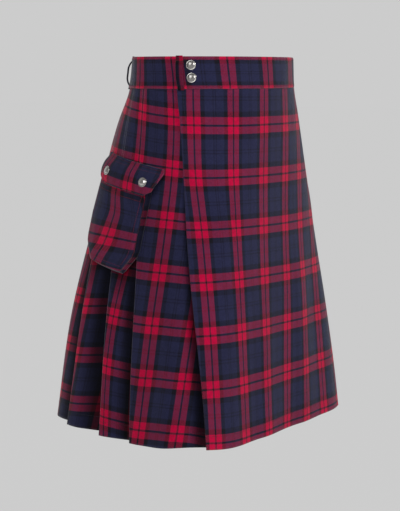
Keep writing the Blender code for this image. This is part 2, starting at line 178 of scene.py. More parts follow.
GROUND_HEIGHT = -1.02
GROUND_HALF = 30.0
GROUND_GREY = 0.03
GROUND_GLOW = 0.592
ground_mesh = bpy.data.meshes.new("studio_ground")
ground_corners = np.array([(-1, -1, 0), (1, -1, 0), (1, 1, 0), (-1, 1, 0)]) * GROUND_HALF
ground_mesh.from_pydata(ground_corners + (0.0, 0.0, GROUND_HEIGHT), [], [(0, 1, 2, 3)])
ground = bpy.data.objects.new("studio_ground", ground_mesh)
scene.collection.objects.link(ground)
ground_mesh.materials.append(new_finish("pale_ground", {
    "Base Color": (GROUND_GREY, GROUND_GREY, GROUND_GREY, 1.0), "Specular IOR Level": 0.0,
    "Emission Color": (1.0, 1.0, 1.0, 1.0), "Emission Strength": GROUND_GLOW})[0])

# Front apron: one flat cloth over the whole front, its side edges turned under by 22 mm. It is sewn
# flat to the hip for the first 140 mm and hangs loose below, with a few soft upright folds. All the
# cloth is brushed cotton twill, woven in the tartan, and hangs on rings round the wearer's body.
BAND_HEIGHT = 0.050
BAND_BOTTOM = -BAND_HEIGHT / 2
SKIRT_LENGTH = 0.571
SEAM_GAP = 0.0003
CLOTH = 0.0011
# Each ring: its depth, half sizes to the side, front and back, and the powers of its two halves.
SECTION_ROWS = np.array([
    (-BAND_HEIGHT, 0.158, 0.1175, 0.1100, 2.1, 2.1),
    (0.0, 0.162, 0.1192, 0.1175, 2.1, 2.1),
    (0.055, 0.169, 0.1205, 0.1390, 2.3, 2.3),
    (0.219, 0.187, 0.1210, 0.1870, 3.2, 2.7),
    (0.383, 0.205, 0.1260, 0.2350, 4.0, 3.1),
    (SKIRT_LENGTH, 0.219, 0.1320, 0.2705, 4.8, 3.4),
])
RING_POINTS = 721
HEM_SHIFT = 0.025
HEM_TURN = math.radians(-6.0)
HEM_LIFT = 0.010
HEM_LIFT_ARC = -0.100
HEM_LIFT_REACH = 0.055
RIGHT, LEFT = -1, 1
SIDES = (("right", RIGHT), ("left", LEFT))
FRONT, BACK = 0, -1


def through_rows(rows, at):
    """Every column of a table at other values of its first: a cubic between rows, with the rows'
    own slopes, h00 a + h10 s ma + h01 b + h11 s mb for the share t of each span s."""
    keys = rows[:, 0]
    slopes = np.gradient(rows, keys, axis=0)
    at = np.atleast_1d(at)
    i = np.clip(np.searchsorted(keys, at) - 1, 0, len(keys) - 2)
    span = (keys[i + 1] - keys[i])[:, None]
    t = np.clip((at - keys[i])[:, None] / span, 0.0, 1.0)
    return ((2 * t**3 - 3 * t**2 + 1) * rows[i] + (t**3 - 2 * t**2 + t) * span * slopes[i]
            + (3 * t**2 - 2 * t**3) * rows[i + 1] + (t**3 - t**2) * span * slopes[i + 1])


def between(at, keys, values):
    """Every column of values at other keys than its own, by straight lines."""
    return np.stack([np.interp(at, keys, column) for column in values.T], axis=-1)


def walked_to(points):
    """Distance walked along rows of points up to each of them."""
    steps = np.linalg.norm(np.diff(points, axis=-2), axis=-1)
    return np.concatenate([np.zeros_like(steps[..., :1]), np.cumsum(steps, axis=-1)], axis=-1)


def unit(vectors):
    """Vectors over their own lengths."""
    return vectors / np.maximum(np.linalg.norm(vectors, axis=-1), 1e-9)[..., None]


@functools.lru_cache(maxsize=None)
def half_ring(depth):
    """Arc from the side line, points and outward normals of half a ring, centre front to back.

    The ring's radius at an angle is (|cos/side|^p + |sin/half|^p)^(-1/p)."""
    side, front, back, front_power, back_power = through_rows(SECTION_ROWS, depth)[0, 1:]
    angle = np.radians(np.linspace(-90.0, 90.0, RING_POINTS))
    power = np.where(angle < 0, front_power, back_power)
    half = np.where(angle < 0, front, back)
    radius = (np.abs(np.cos(angle) / side)**power + np.abs(np.sin(angle) / half)**power)**(-1 / power)
    points = np.stack([radius * np.cos(angle), radius * np.sin(angle)], axis=1)
    arc = walked_to(points)
    tangent = np.gradient(points, arc, axis=0)
    normal = unit(np.stack([tangent[:, 1], -tangent[:, 0]], axis=1))
    return arc - np.interp(0.0, angle, arc), points, normal


def arc_to(end, depth):
    """Length of the rings from the side line to the centre front or back, for an array of depths."""
    return np.array([abs(half_ring(round(float(d), 6))[0][end]) for d in np.atleast_1d(depth)])


def place(side, arc, out, depth):
    """World points of rows of arcs, each row on the ring at its depth and out along its normal."""
    arc, out = np.broadcast_arrays(np.asarray(arc, float), np.asarray(out, float))
    side = np.broadcast_to(side, arc.shape)
    depth = np.broadcast_to(np.asarray(depth, float), arc.shape[:1])
    points = np.empty(arc.shape + (3,))
    for i, level in enumerate(depth):
        arcs, *rings = half_ring(round(float(level), 6))
        xy, normal = (between(arc[i], arcs, ring) for ring in rings)
        xy = xy + out[i][..., None] * unit(normal)
        x, y = xy[..., 0] * side[i], xy[..., 1]
        fall = max(level, 0.0) / SKIRT_LENGTH
        turn = HEM_TURN * fall
        near_apron = np.exp(-((arc[i] - HEM_LIFT_ARC) / HEM_LIFT_REACH)**2) * (side[i] == RIGHT)
        points[i, ..., 0] = x * math.cos(turn) - y * math.sin(turn) + HEM_SHIFT * fall
        points[i, ..., 1] = x * math.sin(turn) + y * math.cos(turn)
        points[i, ..., 2] = BAND_BOTTOM - level + HEM_LIFT * fall**3 * near_apron
    return points


def place_across(across, out, depth, end=FRONT):
    """The same, by the distance from the centre front or back, positive to the wearer's left."""
    across = np.asarray(across, float)
    reach = arc_to(end, depth).reshape((-1,) + (1,) * (across.ndim - 1))
    arc = np.abs(across) - reach if end == FRONT else reach - np.abs(across)
    return place(np.where(across < 0, RIGHT, LEFT), arc, out, depth)


def smooth(value, start, end):
    """Rise from 0 to 1 between start and end: 3 t^2 - 2 t^3."""
    t = np.clip((np.asarray(value) - start) / (end - start), 0.0, 1.0)
    return t * t * (3 - 2 * t)


def bell(value, width):
    """exp(-(v / w)^2)."""
    return np.exp(-(value / width)**2)


def moved_left(path, distance):
    """Rows of (along, out) points moved to the left of their own direction."""
    step = unit(np.gradient(path, axis=1))
    return path + distance * np.stack([-step[..., 1], step[..., 0]], axis=2)


def cloth_faces(path, depth, placer):
    """Outer and inner points of a cloth whose middle follows rows of (along, out) points."""
    return [placer(*np.moveaxis(moved_left(path, way * CLOTH / 2), 2, 0), depth) for way in (1, -1)]


def creases(along, depth, table):
    """Soft ridges and troughs: for each row of the table a bell across its slanted line, which rises
    over the first third of its length and dies out over the last. A row gives the line's place and
    its start, end, slant, half width and height."""
    total = np.zeros(np.broadcast(along, depth).shape)
    for at, start, end, slant, half_width, height in table:
        third = (end - start) / 3
        ridge = height * bell(along - (at + slant * (depth - start)), half_width)
        total = total + ridge * smooth(depth, start, start + third) * (1 - smooth(depth, end - third, end))
    return total


def add_piece(name, vertices, faces, finish, weave=None, wear_and_painted_light=None):
    """A smooth mesh object at the origin from arrays, with its finish, its weave map and its
    attribute of wear and painted light."""
    mesh = bpy.data.meshes.new(name)
    mesh.from_pydata(vertices, [], faces)
    mesh.shade_smooth()
    mesh.materials.append(finish)
    if weave is not None:
        corners = np.empty(len(mesh.loops), np.int64)
        mesh.loops.foreach_get("vertex_index", corners)
        layer = mesh.uv_layers.new(name="weave")
        layer.data.foreach_set("uv", weave[corners].astype(np.float32).ravel())
    if wear_and_painted_light is not None:
        attribute = mesh.attributes.new("wear_and_painted_light", "FLOAT", "POINT")
        attribute.data.foreach_set("value", wear_and_painted_light.astype(np.float32))
    piece = bpy.data.objects.new(name, mesh)
    scene.collection.objects.link(piece)
    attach(piece, "root")
    return piece


def add_cloth(name, node, slot, outer, inner, weave, wear_and_painted_light, flat, held, rests_on):
    """A closed cloth wall between two grids of points, rows by columns, in place of its node."""
    count = outer[..., 0].size
    index = np.arange(count).reshape(outer.shape[:2])
    front = np.stack([index[:-1, :-1], index[1:, :-1], index[1:, 1:], index[:-1, 1:]], axis=-1).reshape(-1, 4)
    back = front[:, [0, 3, 2, 1]] + count
    edge = np.concatenate([index[0, :], index[1:, -1], index[-1, -2::-1], index[-2:0:-1, 0]])
    after = np.roll(edge, -1)
    faces = np.concatenate([front, back, np.stack([edge, after, after + count, edge + count], axis=-1)])
    vertices = np.concatenate([outer.reshape(-1, 3), inner.reshape(-1, 3)])
    a, b, c = (vertices[faces[:, k]] for k in (0, 1, 2))
    if np.einsum("ij,ij->", a, np.cross(b, c)) < 0:
        faces = faces[:, ::-1]
    piece = add_piece(name, vertices, faces, TARTAN, np.tile(weave.reshape(-1, 2), (2, 1)),
                      np.tile(wear_and_painted_light.ravel(), 2))
    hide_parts(node)


def weave_map(across, down):
    """Where each point of a grid lies in the flat weave, across and down it, in metres."""
    return np.stack(np.broadcast_arrays(across, down), axis=-1)


APRON_HALF = 0.188
APRON_SWELL = 0.006
APRON_OUT = 0.0034
APRON_RETURN = 0.022
APRON_LAYER = 0.0015
APRON_SHORTER = 0.001
APRON_RELEASE = 0.140
APRON_LIFT = 0.0012
APRON_EDGE_LIFT = 0.0045
APRON_EDGE_REACH = 0.045
APRON_WAVE = 0.0012
APRON_WAVE_LENGTH = 0.125
APRON_WAVE_SHIFT = 0.012
APRON_WAVE_START = 0.33
PAST_HEM = 0.70
APRON_CREASES = (
    (-0.050, 0.30, PAST_HEM, 0.01, 0.022, 0.0024),
    (0.005, 0.30, PAST_HEM, 0.00, 0.024, -0.0014),
    (0.065, 0.22, PAST_HEM, -0.01, 0.020, 0.0027),
    (0.113, 0.20, PAST_HEM, 0.00, 0.020, -0.0026),
    (0.160, 0.30, PAST_HEM, 0.01, 0.018, 0.0018),
    (-0.172, 0.130, 0.300, 0.30, 0.009, 0.0010),
    (-0.160, 0.135, 0.240, 0.62, 0.008, -0.0008),
    (0.170, 0.130, 0.290, -0.34, 0.009, 0.0010),
    (-0.070, 0.004, 0.110, 0.10, 0.014, 0.0006),
    (0.052, 0.002, 0.090, -0.06, 0.012, -0.0006),
    (0.105, 0.004, 0.130, 0.05, 0.015, 0.0006),
)
APRON_ROW_COUNT = 180
APRON_FACE_COLUMNS = 144
APRON_TURN_COLUMNS = 9
APRON_EDGE_COLUMNS = 2 * APRON_TURN_COLUMNS - 1

# How the woven cloth lies on the apron: millimetres from a point's own place, across and down, to
# its place in the weave, for each depth (a row) and each distance across (a column). It is eased
# over the hip and gathered into the soft folds below.
STRIPE_REPEAT = 0.065
ROW_REPEAT = 0.0773
EASE_DEPTHS = (0.0, 0.060, 0.130, 0.220, 0.340, 0.460, SKIRT_LENGTH)
APRON_EASE_ACROSS = (-0.190, -0.135, -0.080, -0.025, 0.030, 0.085, 0.190)
APRON_STRIPE_EASE = (
    (163.2, 163.9, 164.8, 164.7, 164.4, 164.7, 165.4),
    (168.1, 169.0, 170.1, 167.3, 165.7, 171.9, 179.9),
    (172.0, 174.8, 175.0, 169.5, 168.8, 180.4, 194.0),
    (169.8, 173.4, 175.8, 169.7, 171.1, 187.4, 205.5),
    (170.9, 171.9, 173.8, 171.6, 171.5, 188.7, 211.0),
    (172.8, 170.5, 171.8, 175.8, 177.5, 190.5, 208.6),
    (173.9, 168.4, 167.6, 175.6, 184.9, 192.9, 201.7),
)
APRON_ROW_EASE = (
    (-51.1, -51.8, -52.8, -53.5, -53.7, -53.3, -52.5),
    (-55.3, -56.7, -57.5, -57.5, -57.8, -57.7, -57.2),
    (-58.5, -59.5, -60.2, -61.0, -61.8, -62.1, -62.5),
    (-62.5, -62.7, -63.7, -65.7, -67.3, -67.9, -69.0),
    (-70.9, -70.7, -71.8, -73.7, -75.7, -76.2, -77.6),
    (-83.3, -83.4, -84.3, -84.9, -86.2, -86.3, -87.9),
    (-96.3, -97.0, -97.9, -97.8, -97.6, -97.3, -98.5),
)


def eased(table, places, along, depth):
    """Metres from a table of millimetres at rows of distances along: the cubic through its rows
    at each depth, then the cubic through the table's columns at each distance."""
    levels = np.column_stack([EASE_DEPTHS, np.array(table)])
    result = np.empty(along.shape)
    for i, row in enumerate(through_rows(levels, depth)[:, 1:]):
        columns = np.column_stack([places, row])
        result[i] = through_rows(columns, np.clip(along[i], places[0], places[-1]))[:, 1]
    return result / 1000


def apron_half(depth):
    """Half the apron's width at a depth: a little fuller at the middle of its length."""
    return APRON_HALF + APRON_SWELL * np.sin(math.pi * np.clip(depth / SKIRT_LENGTH, 0, 1))**2


def apron_out(across, depth):
    """Height of the apron over the ring: flat above, loose edges, soft waves and folds below."""
    loose = smooth(depth, APRON_RELEASE, SKIRT_LENGTH)
    edge = np.exp(-(apron_half(depth) - np.abs(across)) / APRON_EDGE_REACH)
    waves = np.cos(2 * math.pi * (across + APRON_WAVE_SHIFT) / APRON_WAVE_LENGTH)
    waves = waves * smooth(depth, APRON_WAVE_START, SKIRT_LENGTH) * (1 - edge)
    folds = creases(across, depth, APRON_CREASES) * (1 - edge**2)
    return APRON_OUT + (APRON_EDGE_LIFT * edge + APRON_LIFT) * loose + APRON_WAVE * waves + folds


def apron_grid(depth):
    """Rows of (along, out) points across the front: turned layer, fold, face, fold, layer."""
    depth = depth[:, None]
    turn = np.radians(np.linspace(-90.0, 90.0, APRON_TURN_COLUMNS))
    nose = APRON_LAYER / 2
    half = apron_half(depth)
    layer = half - APRON_RETURN + (APRON_RETURN - nose) * np.linspace(0, 1, APRON_TURN_COLUMNS)[:-1]
    right_along = np.hstack([layer, half - nose + nose * np.cos(turn)])
    right_drop = np.concatenate([np.full(APRON_TURN_COLUMNS - 1, APRON_LAYER), nose - nose * np.sin(turn)])
    face = (half - nose) * np.linspace(-1, 1, APRON_FACE_COLUMNS + 2)[1:-1]
    along = np.hstack([-right_along, face, right_along[:, ::-1]])
    drop = np.concatenate([right_drop, np.zeros(APRON_FACE_COLUMNS), right_drop[::-1]])
    return np.stack([along, apron_out(along, depth) - drop], axis=-1)


RED_THREAD = (0.520, 0.0020, 0.046, 1.0)
DULLED_RED_THREAD = (0.335, 0.0110, 0.050, 1.0)
NAVY_THREAD = (0.0200, 0.0215, 0.0600, 1.0)
BLACK_THREAD = (0.0100, 0.0090, 0.0150, 1.0)
# Tint of rubbed edges and painted highlights; the share of colour left in the deepest painted shade.
WEAR_AND_HIGHLIGHT_TINT = (0.30, 0.22, 0.26, 1.0)
DEEPEST_PAINTED_SHADE = 0.16
THREAD_PITCH = 0.00055
# The sett, from the middle of a red stripe to the middle of the navy, in shares of the repeat.
LINE_EDGE = 0.020
RED_EDGE = 0.158
GREEN_EDGE = 0.262
FINE_LINE_AT = 0.470
FINE_LINE_HALF = 0.012
FINE_LINE_DARKNESS = 0.75
SETT_SOFT = 0.012
TWILL_SOFT = 1.3
# The scale and the detail of the cloth's noises, fine to coarse, and their shares of its shade.
NAP, PILLING, PATCHES = (420.0, 3.0), (150.0, 2.0), (16.0, 2.0)
NAP_SHADE, PILLING_SHADE, PATCH_SHADE, LEAST_SHADE = 0.60, 0.30, 0.30, 0.40
# How much the wear and the painted highlights lighten the cloth, by its nap.
NAP_LIGHTENING, LIGHTENING_START, MOST_LIGHTENING = 1.4, -0.2, 0.16
DIAGONAL_RELIEF, THREAD_RELIEF, NAP_RELIEF = 0.5, 0.2, 1.2


def sett_masks(distance, repeat):
    """Where the threads are red and where they are black, along one direction of the cloth.

    The distance is folded about each stripe's middle, |frac(d / r + 1/2) - 1/2|, so that the sett
    runs from a stripe's middle out to the middle of the navy and back."""
    share = ((distance / repeat + 0.5).math("FRACT") - 0.5).math("ABSOLUTE")
    in_line, in_red, in_green = (share.under(edge, SETT_SOFT) for edge in (LINE_EDGE, RED_EDGE, GREEN_EDGE))
    fine = (share - FINE_LINE_AT).math("ABSOLUTE").under(FINE_LINE_HALF, SETT_SOFT)
    dark = (in_green * (1.0 - in_red)).math("MAXIMUM", fine * FINE_LINE_DARKNESS).math("MAXIMUM", in_line)
    return in_red * (1.0 - in_line), dark


def thread_colour(red, dark, other_red):
    """Colour of a thread by its own sett; a red one is dulled where it crosses dark threads."""
    cool = dark.blend(NAVY_THREAD, BLACK_THREAD)
    warm = other_red.blend(DULLED_RED_THREAD, RED_THREAD)
    return red.blend(cool, warm)


def tartan_finish():
    """Brushed cotton twill. Both threads carry the sett, and the twill shows either by diagonals:
    the sine of the summed thread counts is over 0 where the upright thread lies on top."""
    finish, shader, start = new_finish("brushed_tartan_twill", {
        "Roughness": 0.92, "Specular IOR Level": 0.10, "Sheen Weight": 0.28, "Sheen Roughness": 0.36})
    weave = start.make("ShaderNodeUVMap", {"uv_map": "weave"}, {})
    across, down = (start.make("ShaderNodeSeparateXYZ", {}, {0: weave}, k) for k in (0, 1))
    stripe_red, stripe_dark = sett_masks(across, STRIPE_REPEAT)
    row_red, row_dark = sett_masks(down, ROW_REPEAT)
    diagonal = ((across + down) * (2 * math.pi / (4 * THREAD_PITCH))).math("SINE")
    threads = ((across - down) * (2 * math.pi / (2 * THREAD_PITCH))).math("SINE")
    upright = thread_colour(stripe_red, stripe_dark, row_red)
    level = thread_colour(row_red, row_dark, stripe_red)
    woven = (1.0 - diagonal.under(0.0, TWILL_SOFT)).blend(level, upright)
    nap, pilling, patch = (start.noise(*cloud) for cloud in (NAP, PILLING, PATCHES))
    wear_and_painted_light = start.wear_and_painted_light()
    # Below 0 the attribute is painted shade that darkens the colour; above 0, wear and painted highlights
    # tint it lighter.
    painted_shade = (wear_and_painted_light * -1.0).math("MAXIMUM", 0.0)
    mottled = nap * NAP_SHADE + pilling * PILLING_SHADE + patch * PATCH_SHADE + LEAST_SHADE
    shade = mottled * (1.0 - painted_shade * (1 - DEEPEST_PAINTED_SHADE))
    grey = start.make("ShaderNodeCombineColor", {}, {0: shade, 1: shade, 2: shade})
    toned = start.make("ShaderNodeMix", {"data_type": "RGBA", "blend_type": "MULTIPLY"},
                       {0: 1.0, 6: woven, 7: grey}, 2)
    wear_and_highlight = wear_and_painted_light.math("MAXIMUM", 0.0) * (nap * NAP_LIGHTENING + LIGHTENING_START) * MOST_LIGHTENING
    wear_and_highlight.blend(toned, WEAR_AND_HIGHLIGHT_TINT).into(shader, "Base Color")
    relief = diagonal * DIAGONAL_RELIEF + threads * THREAD_RELIEF + nap * NAP_RELIEF
    bump = start.make("ShaderNodeBump", {}, {"Strength": 0.35, "Distance": 0.0004, "Height": relief})
    bump.into(shader, "Normal")
    return finish


TARTAN = tartan_finish()
EDGE_WEAR, EDGE_WEAR_REACH = 0.2, 0.0012
HEM_WEAR, HEM_WEAR_REACH = 0.6, 0.002
apron_depth = np.linspace(SEAM_GAP, SKIRT_LENGTH - APRON_SHORTER, APRON_ROW_COUNT)
apron_path = apron_grid(apron_depth)
apron_along = apron_path[..., 0]
from_stripe = apron_along + eased(APRON_STRIPE_EASE, APRON_EASE_ACROSS, apron_along, apron_depth)
apron_down = apron_depth[:, None] + eased(APRON_ROW_EASE, APRON_EASE_ACROSS, apron_along, apron_depth)
at_edge = EDGE_WEAR * bell(apron_half(apron_depth)[:, None] - np.abs(apron_along), EDGE_WEAR_REACH)
at_hem = HEM_WEAR * bell(apron_depth[-1] - apron_depth, HEM_WEAR_REACH)[:, None]
apron_outer, apron_inner = cloth_faces(apron_path, apron_depth, place_across)
add_cloth("apron_cloth", "front_apron", "tartan_cloth", apron_outer, apron_inner,
          weave_map(from_stripe, apron_down), np.maximum(at_edge, at_hem), (0.424, 0.571), "hung",
          ["waistband_front"])

STITCH = 0.0024
STITCH_PITCH = 0.0034
THREAD_WIDTH = 0.00062
THREAD_HEIGHT = 0.00034
HEM_FROM_EDGE = 0.024
FLECK = (1500.0, 2.0)
SMOOTHEST_THREAD, FLECK_ROUGHNESS = 0.55, 0.25
# Along a stitch: share of its length from the middle, of its width and of its height; and the
# corners of a section, as shares of width and height.
STITCH_STATIONS = np.array([(-0.50, 0.55, 0.0), (-0.26, 1.0, 1.0), (0.26, 1.0, 1.0), (0.50, 0.55, 0.0)])
STITCH_CORNERS = np.array([(-0.5, -0.4), (-0.28, 1.0), (0.28, 1.0), (0.5, -0.4)])


def thread_finish(name, dark, light):
    """Waxed cotton sewing thread, mottled between two colours along its twist."""
    finish, shader, start = new_finish(name, {"Specular IOR Level": 0.25})
    fleck = start.noise(*FLECK)
    fleck.blend(dark, light).into(shader, "Base Color")
    (fleck * FLECK_ROUGHNESS + SMOOTHEST_THREAD).into(shader, "Roughness")
    return finish


NAVY_SEWING = thread_finish("navy_sewing_thread", (0.010, 0.009, 0.016, 1.0), (0.036, 0.034, 0.060, 1.0))
WINE_SEWING = thread_finish("wine_sewing_thread", (0.120, 0.006, 0.018, 1.0), (0.300, 0.016, 0.045, 1.0))


def row_near(depths, depth):
    """Number of the row of a grid that lies nearest to a depth."""
    return int(np.argmin(np.abs(depths - depth)))


def seam_on(grid, row=None, column=None, first=0, last=None):
    """Points and outward normals along one row or column of a grid of surface points."""
    pick = (row, slice(first, last)) if row is not None else (slice(first, last), column)
    points, normal = grid[pick], unit(np.cross(*np.gradient(grid, axis=(0, 1)))[pick])
    return points, normal * np.sign(np.einsum("ij,ij->", points[:, :2], normal[:, :2]))


def add_stitches(name, seams, thread, length=STITCH, pitch=STITCH_PITCH):
    """Stitches along seams: each a low bar of four cross sections, tapered to both ends, laid along
    the line of the seam and standing on the cloth by its normal."""
    share, width, height = np.repeat(STITCH_STATIONS, 4, axis=0).T[..., None]
    across, raised = np.tile(STITCH_CORNERS, (4, 1)).T[..., None]
    lift = np.where(raised > 0, raised * height, raised) * THREAD_HEIGHT
    bars = []
    for points, normals in seams:
        walked = walked_to(points)
        middle = (np.arange(int(walked[-1] / pitch)) + 0.5) * pitch
        start, centre, end = (between(middle + way * length / 2, walked, points) for way in (-1, 0, 1))
        forward, up = unit(end - start), unit(between(middle, walked, normals))
        sideways = np.cross(up, forward)
        bars.append(centre[:, None] + forward[:, None] * share * length
                    + sideways[:, None] * across * width * THREAD_WIDTH + up[:, None] * lift)
    vertices = np.concatenate(bars).reshape(-1, 3)
    corner, ring = np.arange(4), 4 * np.arange(3)[:, None]
    a, b = ring + corner, ring + np.roll(corner, -1)
    sides_of_bar = np.stack([a, b, b + 4, a + 4], axis=-1).reshape(-1, 4)
    faces = np.concatenate([[(3, 2, 1, 0), (12, 13, 14, 15)], sides_of_bar])
    first_of_bar = np.arange(0, len(vertices), 16)[:, None, None]
    add_piece("stitches_" + name, vertices, (first_of_bar + faces).reshape(-1, 4), thread)


hem_row = row_near(apron_depth, SKIRT_LENGTH - HEM_FROM_EDGE)
release_row = row_near(apron_depth, APRON_RELEASE)
add_stitches("apron", [
    seam_on(apron_outer, row=hem_row, first=APRON_EDGE_COLUMNS, last=-APRON_EDGE_COLUMNS),
    seam_on(apron_outer, column=APRON_EDGE_COLUMNS + 2, last=release_row),
    seam_on(apron_outer, column=-APRON_EDGE_COLUMNS - 3, last=release_row)], NAVY_SEWING)

# Pleated panels: each side and half of the back is one cloth, in seven knife pleats whose folds
# face the back, the last at the centre back. They are pressed flat to 110 mm below the band, then
# open to the hem. The side of the cloth by the apron runs in under it.
UNDERLAP = 0.038
SIDE_PRESS = 0.012
SIDE_PRESS_ARCS = (-0.150, -0.050)
# Each pleat's edge at the waist and at the hem, and its overlap and step at the hem.
PLEAT_ROWS = (
    (0.024, 0.015, 0.021, 0.0230),
    (0.057, 0.086, 0.024, 0.0360),
    (0.090, 0.174, 0.021, 0.0270),
    (0.123, 0.241, 0.024, 0.0230),
    (0.156, 0.308, 0.020, 0.0250),
    (0.189, 0.374, 0.023, 0.0220),
)
CENTRE_OVERLAP = 0.021
CENTRE_STEP = 0.0190
CENTRE_CLEAR = 0.0020
SIDE_CLEAR = 0.008
FACE_CLEAR = 0.006
# The pleats' edges wander by a sine down the cloth, each with its own start.
WANDER, WANDER_PACE, WANDER_START = 0.0012, 9.0, 1.9
FOLD_RADIUS = 0.0026
PRESSED_SHARE = 0.45
FLAT_STEP = 0.0012
FLAT_REACH = 0.006
CENTRE_FLAT_REACH = 0.009
FLAT_NOSE = 0.0012
OPEN_START, OPEN_END = 0.110, 0.245
FACE_SHARES = np.linspace(0.0, 1.0, 16)[1:-1]
RAMP_POWER = 1.25
PANEL_ROW_COUNT = 118
SIDE_COLUMNS = 52
NOSE_COLUMNS = 9
INNER_COLUMNS = 6
TIP = NOSE_COLUMNS // 2
LIGHTER_NOSE_COLUMNS = 3
SIDE_EASE_ARCS = (-0.150, -0.100, -0.050, 0.0, 0.050, 0.110)
SIDE_STRIPE_EASE = (
    (30.1, 28.4, 27.8, 32.0, 41.7, 53.4),
    (34.3, 34.5, 35.3, 38.0, 42.7, 47.4),
    (37.4, 38.7, 38.9, 37.3, 38.1, 38.3),
    (37.7, 38.5, 36.6, 29.1, 26.9, 25.3),
    (34.3, 31.7, 29.5, 19.7, 14.6, 10.8),
    (28.8, 23.6, 20.5, 10.9, 3.2, -3.7),
    (22.9, 16.2, 10.3, 2.3, -7.5, -17.7),
)
SIDE_ROW_EASE = (
    (-46.0, -44.5, -42.1, -37.8, -32.0, -24.0),
    (-49.1, -47.1, -45.0, -40.5, -33.3, -25.9),
    (-53.2, -49.7, -46.1, -41.5, -36.2, -31.5),
    (-59.1, -54.2, -49.9, -48.5, -45.7, -42.5),
    (-68.0, -62.7, -59.5, -60.0, -58.5, -56.4),
    (-80.7, -73.8, -70.4, -72.6, -72.5, -71.7),
    (-95.4, -87.5, -83.3, -85.2, -86.5, -87.3),
)
# How the weave lies on each pleat's face, in millimetres: the stripe's distance before the nose,
# how it drifts and bends down the pleat and spreads away from the nose, and the rows' lift, fall
# down the pleat and slope along it.
FACE_ROWS = np.array([
    (12.2, -16.0, 14.6, -10.2, 3.7, 2.8, -4.8),
    (-2.9, -8.8, -2.4, 12.4, 8.5, 3.0, 5.1),
    (9.8, -11.0, 0.0, 0.0, 19.3, 0.6, 0.0),
    (12.0, -6.0, 4.0, 3.0, 14.0, 1.5, 2.0),
    (4.0, -9.0, 2.0, -4.0, 18.0, 2.0, -2.0),
    (15.0, -7.0, -2.0, 4.0, 17.0, 1.0, 0.0),
])
FACE_MIDDLE_DEPTH, FACE_DEPTH_REACH, FACE_REACH = 0.40, 0.17, 0.05
FACE_DEPTHS = (0.130, 0.240)
FACE_ROWS_START = -0.0415
FACE_ROWS_STRETCH = 0.08
PANEL_CREASES = (
    (-0.080, 0.30, PAST_HEM, 0.05, 0.020, 0.0022),
    (-0.035, 0.34, PAST_HEM, 0.06, 0.018, -0.0018),
    (-0.115, 0.18, 0.42, 0.10, 0.014, -0.0014),
    (0.120, 0.36, PAST_HEM, 0.12, 0.014, 0.0016),
    (0.205, 0.30, PAST_HEM, 0.16, 0.014, -0.0014),
    (0.270, 0.40, PAST_HEM, 0.10, 0.014, 0.0016),
    (0.340, 0.28, PAST_HEM, 0.14, 0.015, -0.0016),
)
LEFT_STRIPE_SHIFT = 0.024


def pleat_columns(depth):
    """Edge, overlap and step of every pleat at an array of depths, and how far they are open."""
    fall = depth / SKIRT_LENGTH
    opening = smooth(depth, OPEN_START, OPEN_END)
    grown = PRESSED_SHARE + (1 - PRESSED_SHARE) * smooth(depth, OPEN_START, SKIRT_LENGTH)
    pleats = []
    for i, (at_waist, at_hem, overlap, step) in enumerate(PLEAT_ROWS):
        wander = WANDER * opening * np.sin(WANDER_PACE * fall + WANDER_START * i)
        pleats.append((at_waist + (at_hem - at_waist) * fall + wander, overlap, step))
    centre = arc_to(BACK, depth) - CENTRE_CLEAR - (1 - opening) * CENTRE_FLAT_REACH
    pleats.append((centre, CENTRE_OVERLAP, CENTRE_STEP))
    return [(edge, overlap * grown, FLAT_STEP + (step * grown - FLAT_STEP) * opening)
            for edge, overlap, step in pleats], opening


def mixed(first, second, share):
    """The first value where a share is 0, the second where it is 1."""
    return first * (1 - share) + second * share


def fold_columns(edge, overlap, step, opening):
    """One knife pleat: a half circle round its nose, then one round the inner fold under it. Where
    it is pressed flat, both run straight on along the cloth."""
    edge, overlap, step, opening = (v[:, None] for v in (edge, overlap, step, opening))
    nose_turn = np.radians(np.linspace(90.0, -90.0, NOSE_COLUMNS))
    inner_turn = np.radians(np.linspace(90.0, -90.0, INNER_COLUMNS))
    radius = np.minimum(step / 4, FOLD_RADIUS)
    nose_fold = edge - radius + radius * np.cos(nose_turn)
    nose_flat = edge + FLAT_NOSE * np.linspace(-1, 1, NOSE_COLUMNS)
    inner_fold = edge - overlap + radius - radius * np.cos(inner_turn)
    inner_flat = edge + FLAT_REACH + FLAT_NOSE * np.linspace(-1, 1, INNER_COLUMNS)
    along = np.hstack([mixed(nose_flat, nose_fold, opening), mixed(inner_flat, inner_fold, opening)])
    out = np.hstack([radius * (np.sin(nose_turn) - 1), -step + radius * (np.sin(inner_turn) + 1)])
    return np.stack([along, out], axis=-1)


def panel_paths(depth):
    """Rows of (along, out) points from under the apron, over the side and through every pleat, with
    each nose's first column."""
    pleats, opening = pleat_columns(depth)
    start = APRON_HALF - UNDERLAP - arc_to(FRONT, depth)
    end = pleats[0][0] - SIDE_CLEAR
    side_part = start[:, None] + (end - start)[:, None] * np.linspace(0, 1, SIDE_COLUMNS)
    press = (SIDE_PRESS * opening * (depth / SKIRT_LENGTH))[:, None]
    paths = [np.stack([side_part, -press * (1 - smooth(side_part, *SIDE_PRESS_ARCS))], axis=-1)]
    noses = []
    for i, (edge, overlap, step) in enumerate(pleats):
        noses.append(sum(p.shape[1] for p in paths))
        fold = fold_columns(edge, overlap, step, opening)
        last = fold[:, -1:, 0]
        if i < len(pleats) - 1:
            along = last + (pleats[i + 1][0][:, None] - FACE_CLEAR - last) * FACE_SHARES
            out = -step[:, None] * (1 - FACE_SHARES)**RAMP_POWER
        else:
            along = last + (arc_to(BACK, depth)[:, None] - last) * np.array((0.5, 1.0))
            out = np.broadcast_to(fold[:, -1:, 1], along.shape)
        paths += [fold, np.stack([along, out], axis=-1)]
    return np.concatenate(paths, axis=1), noses, opening


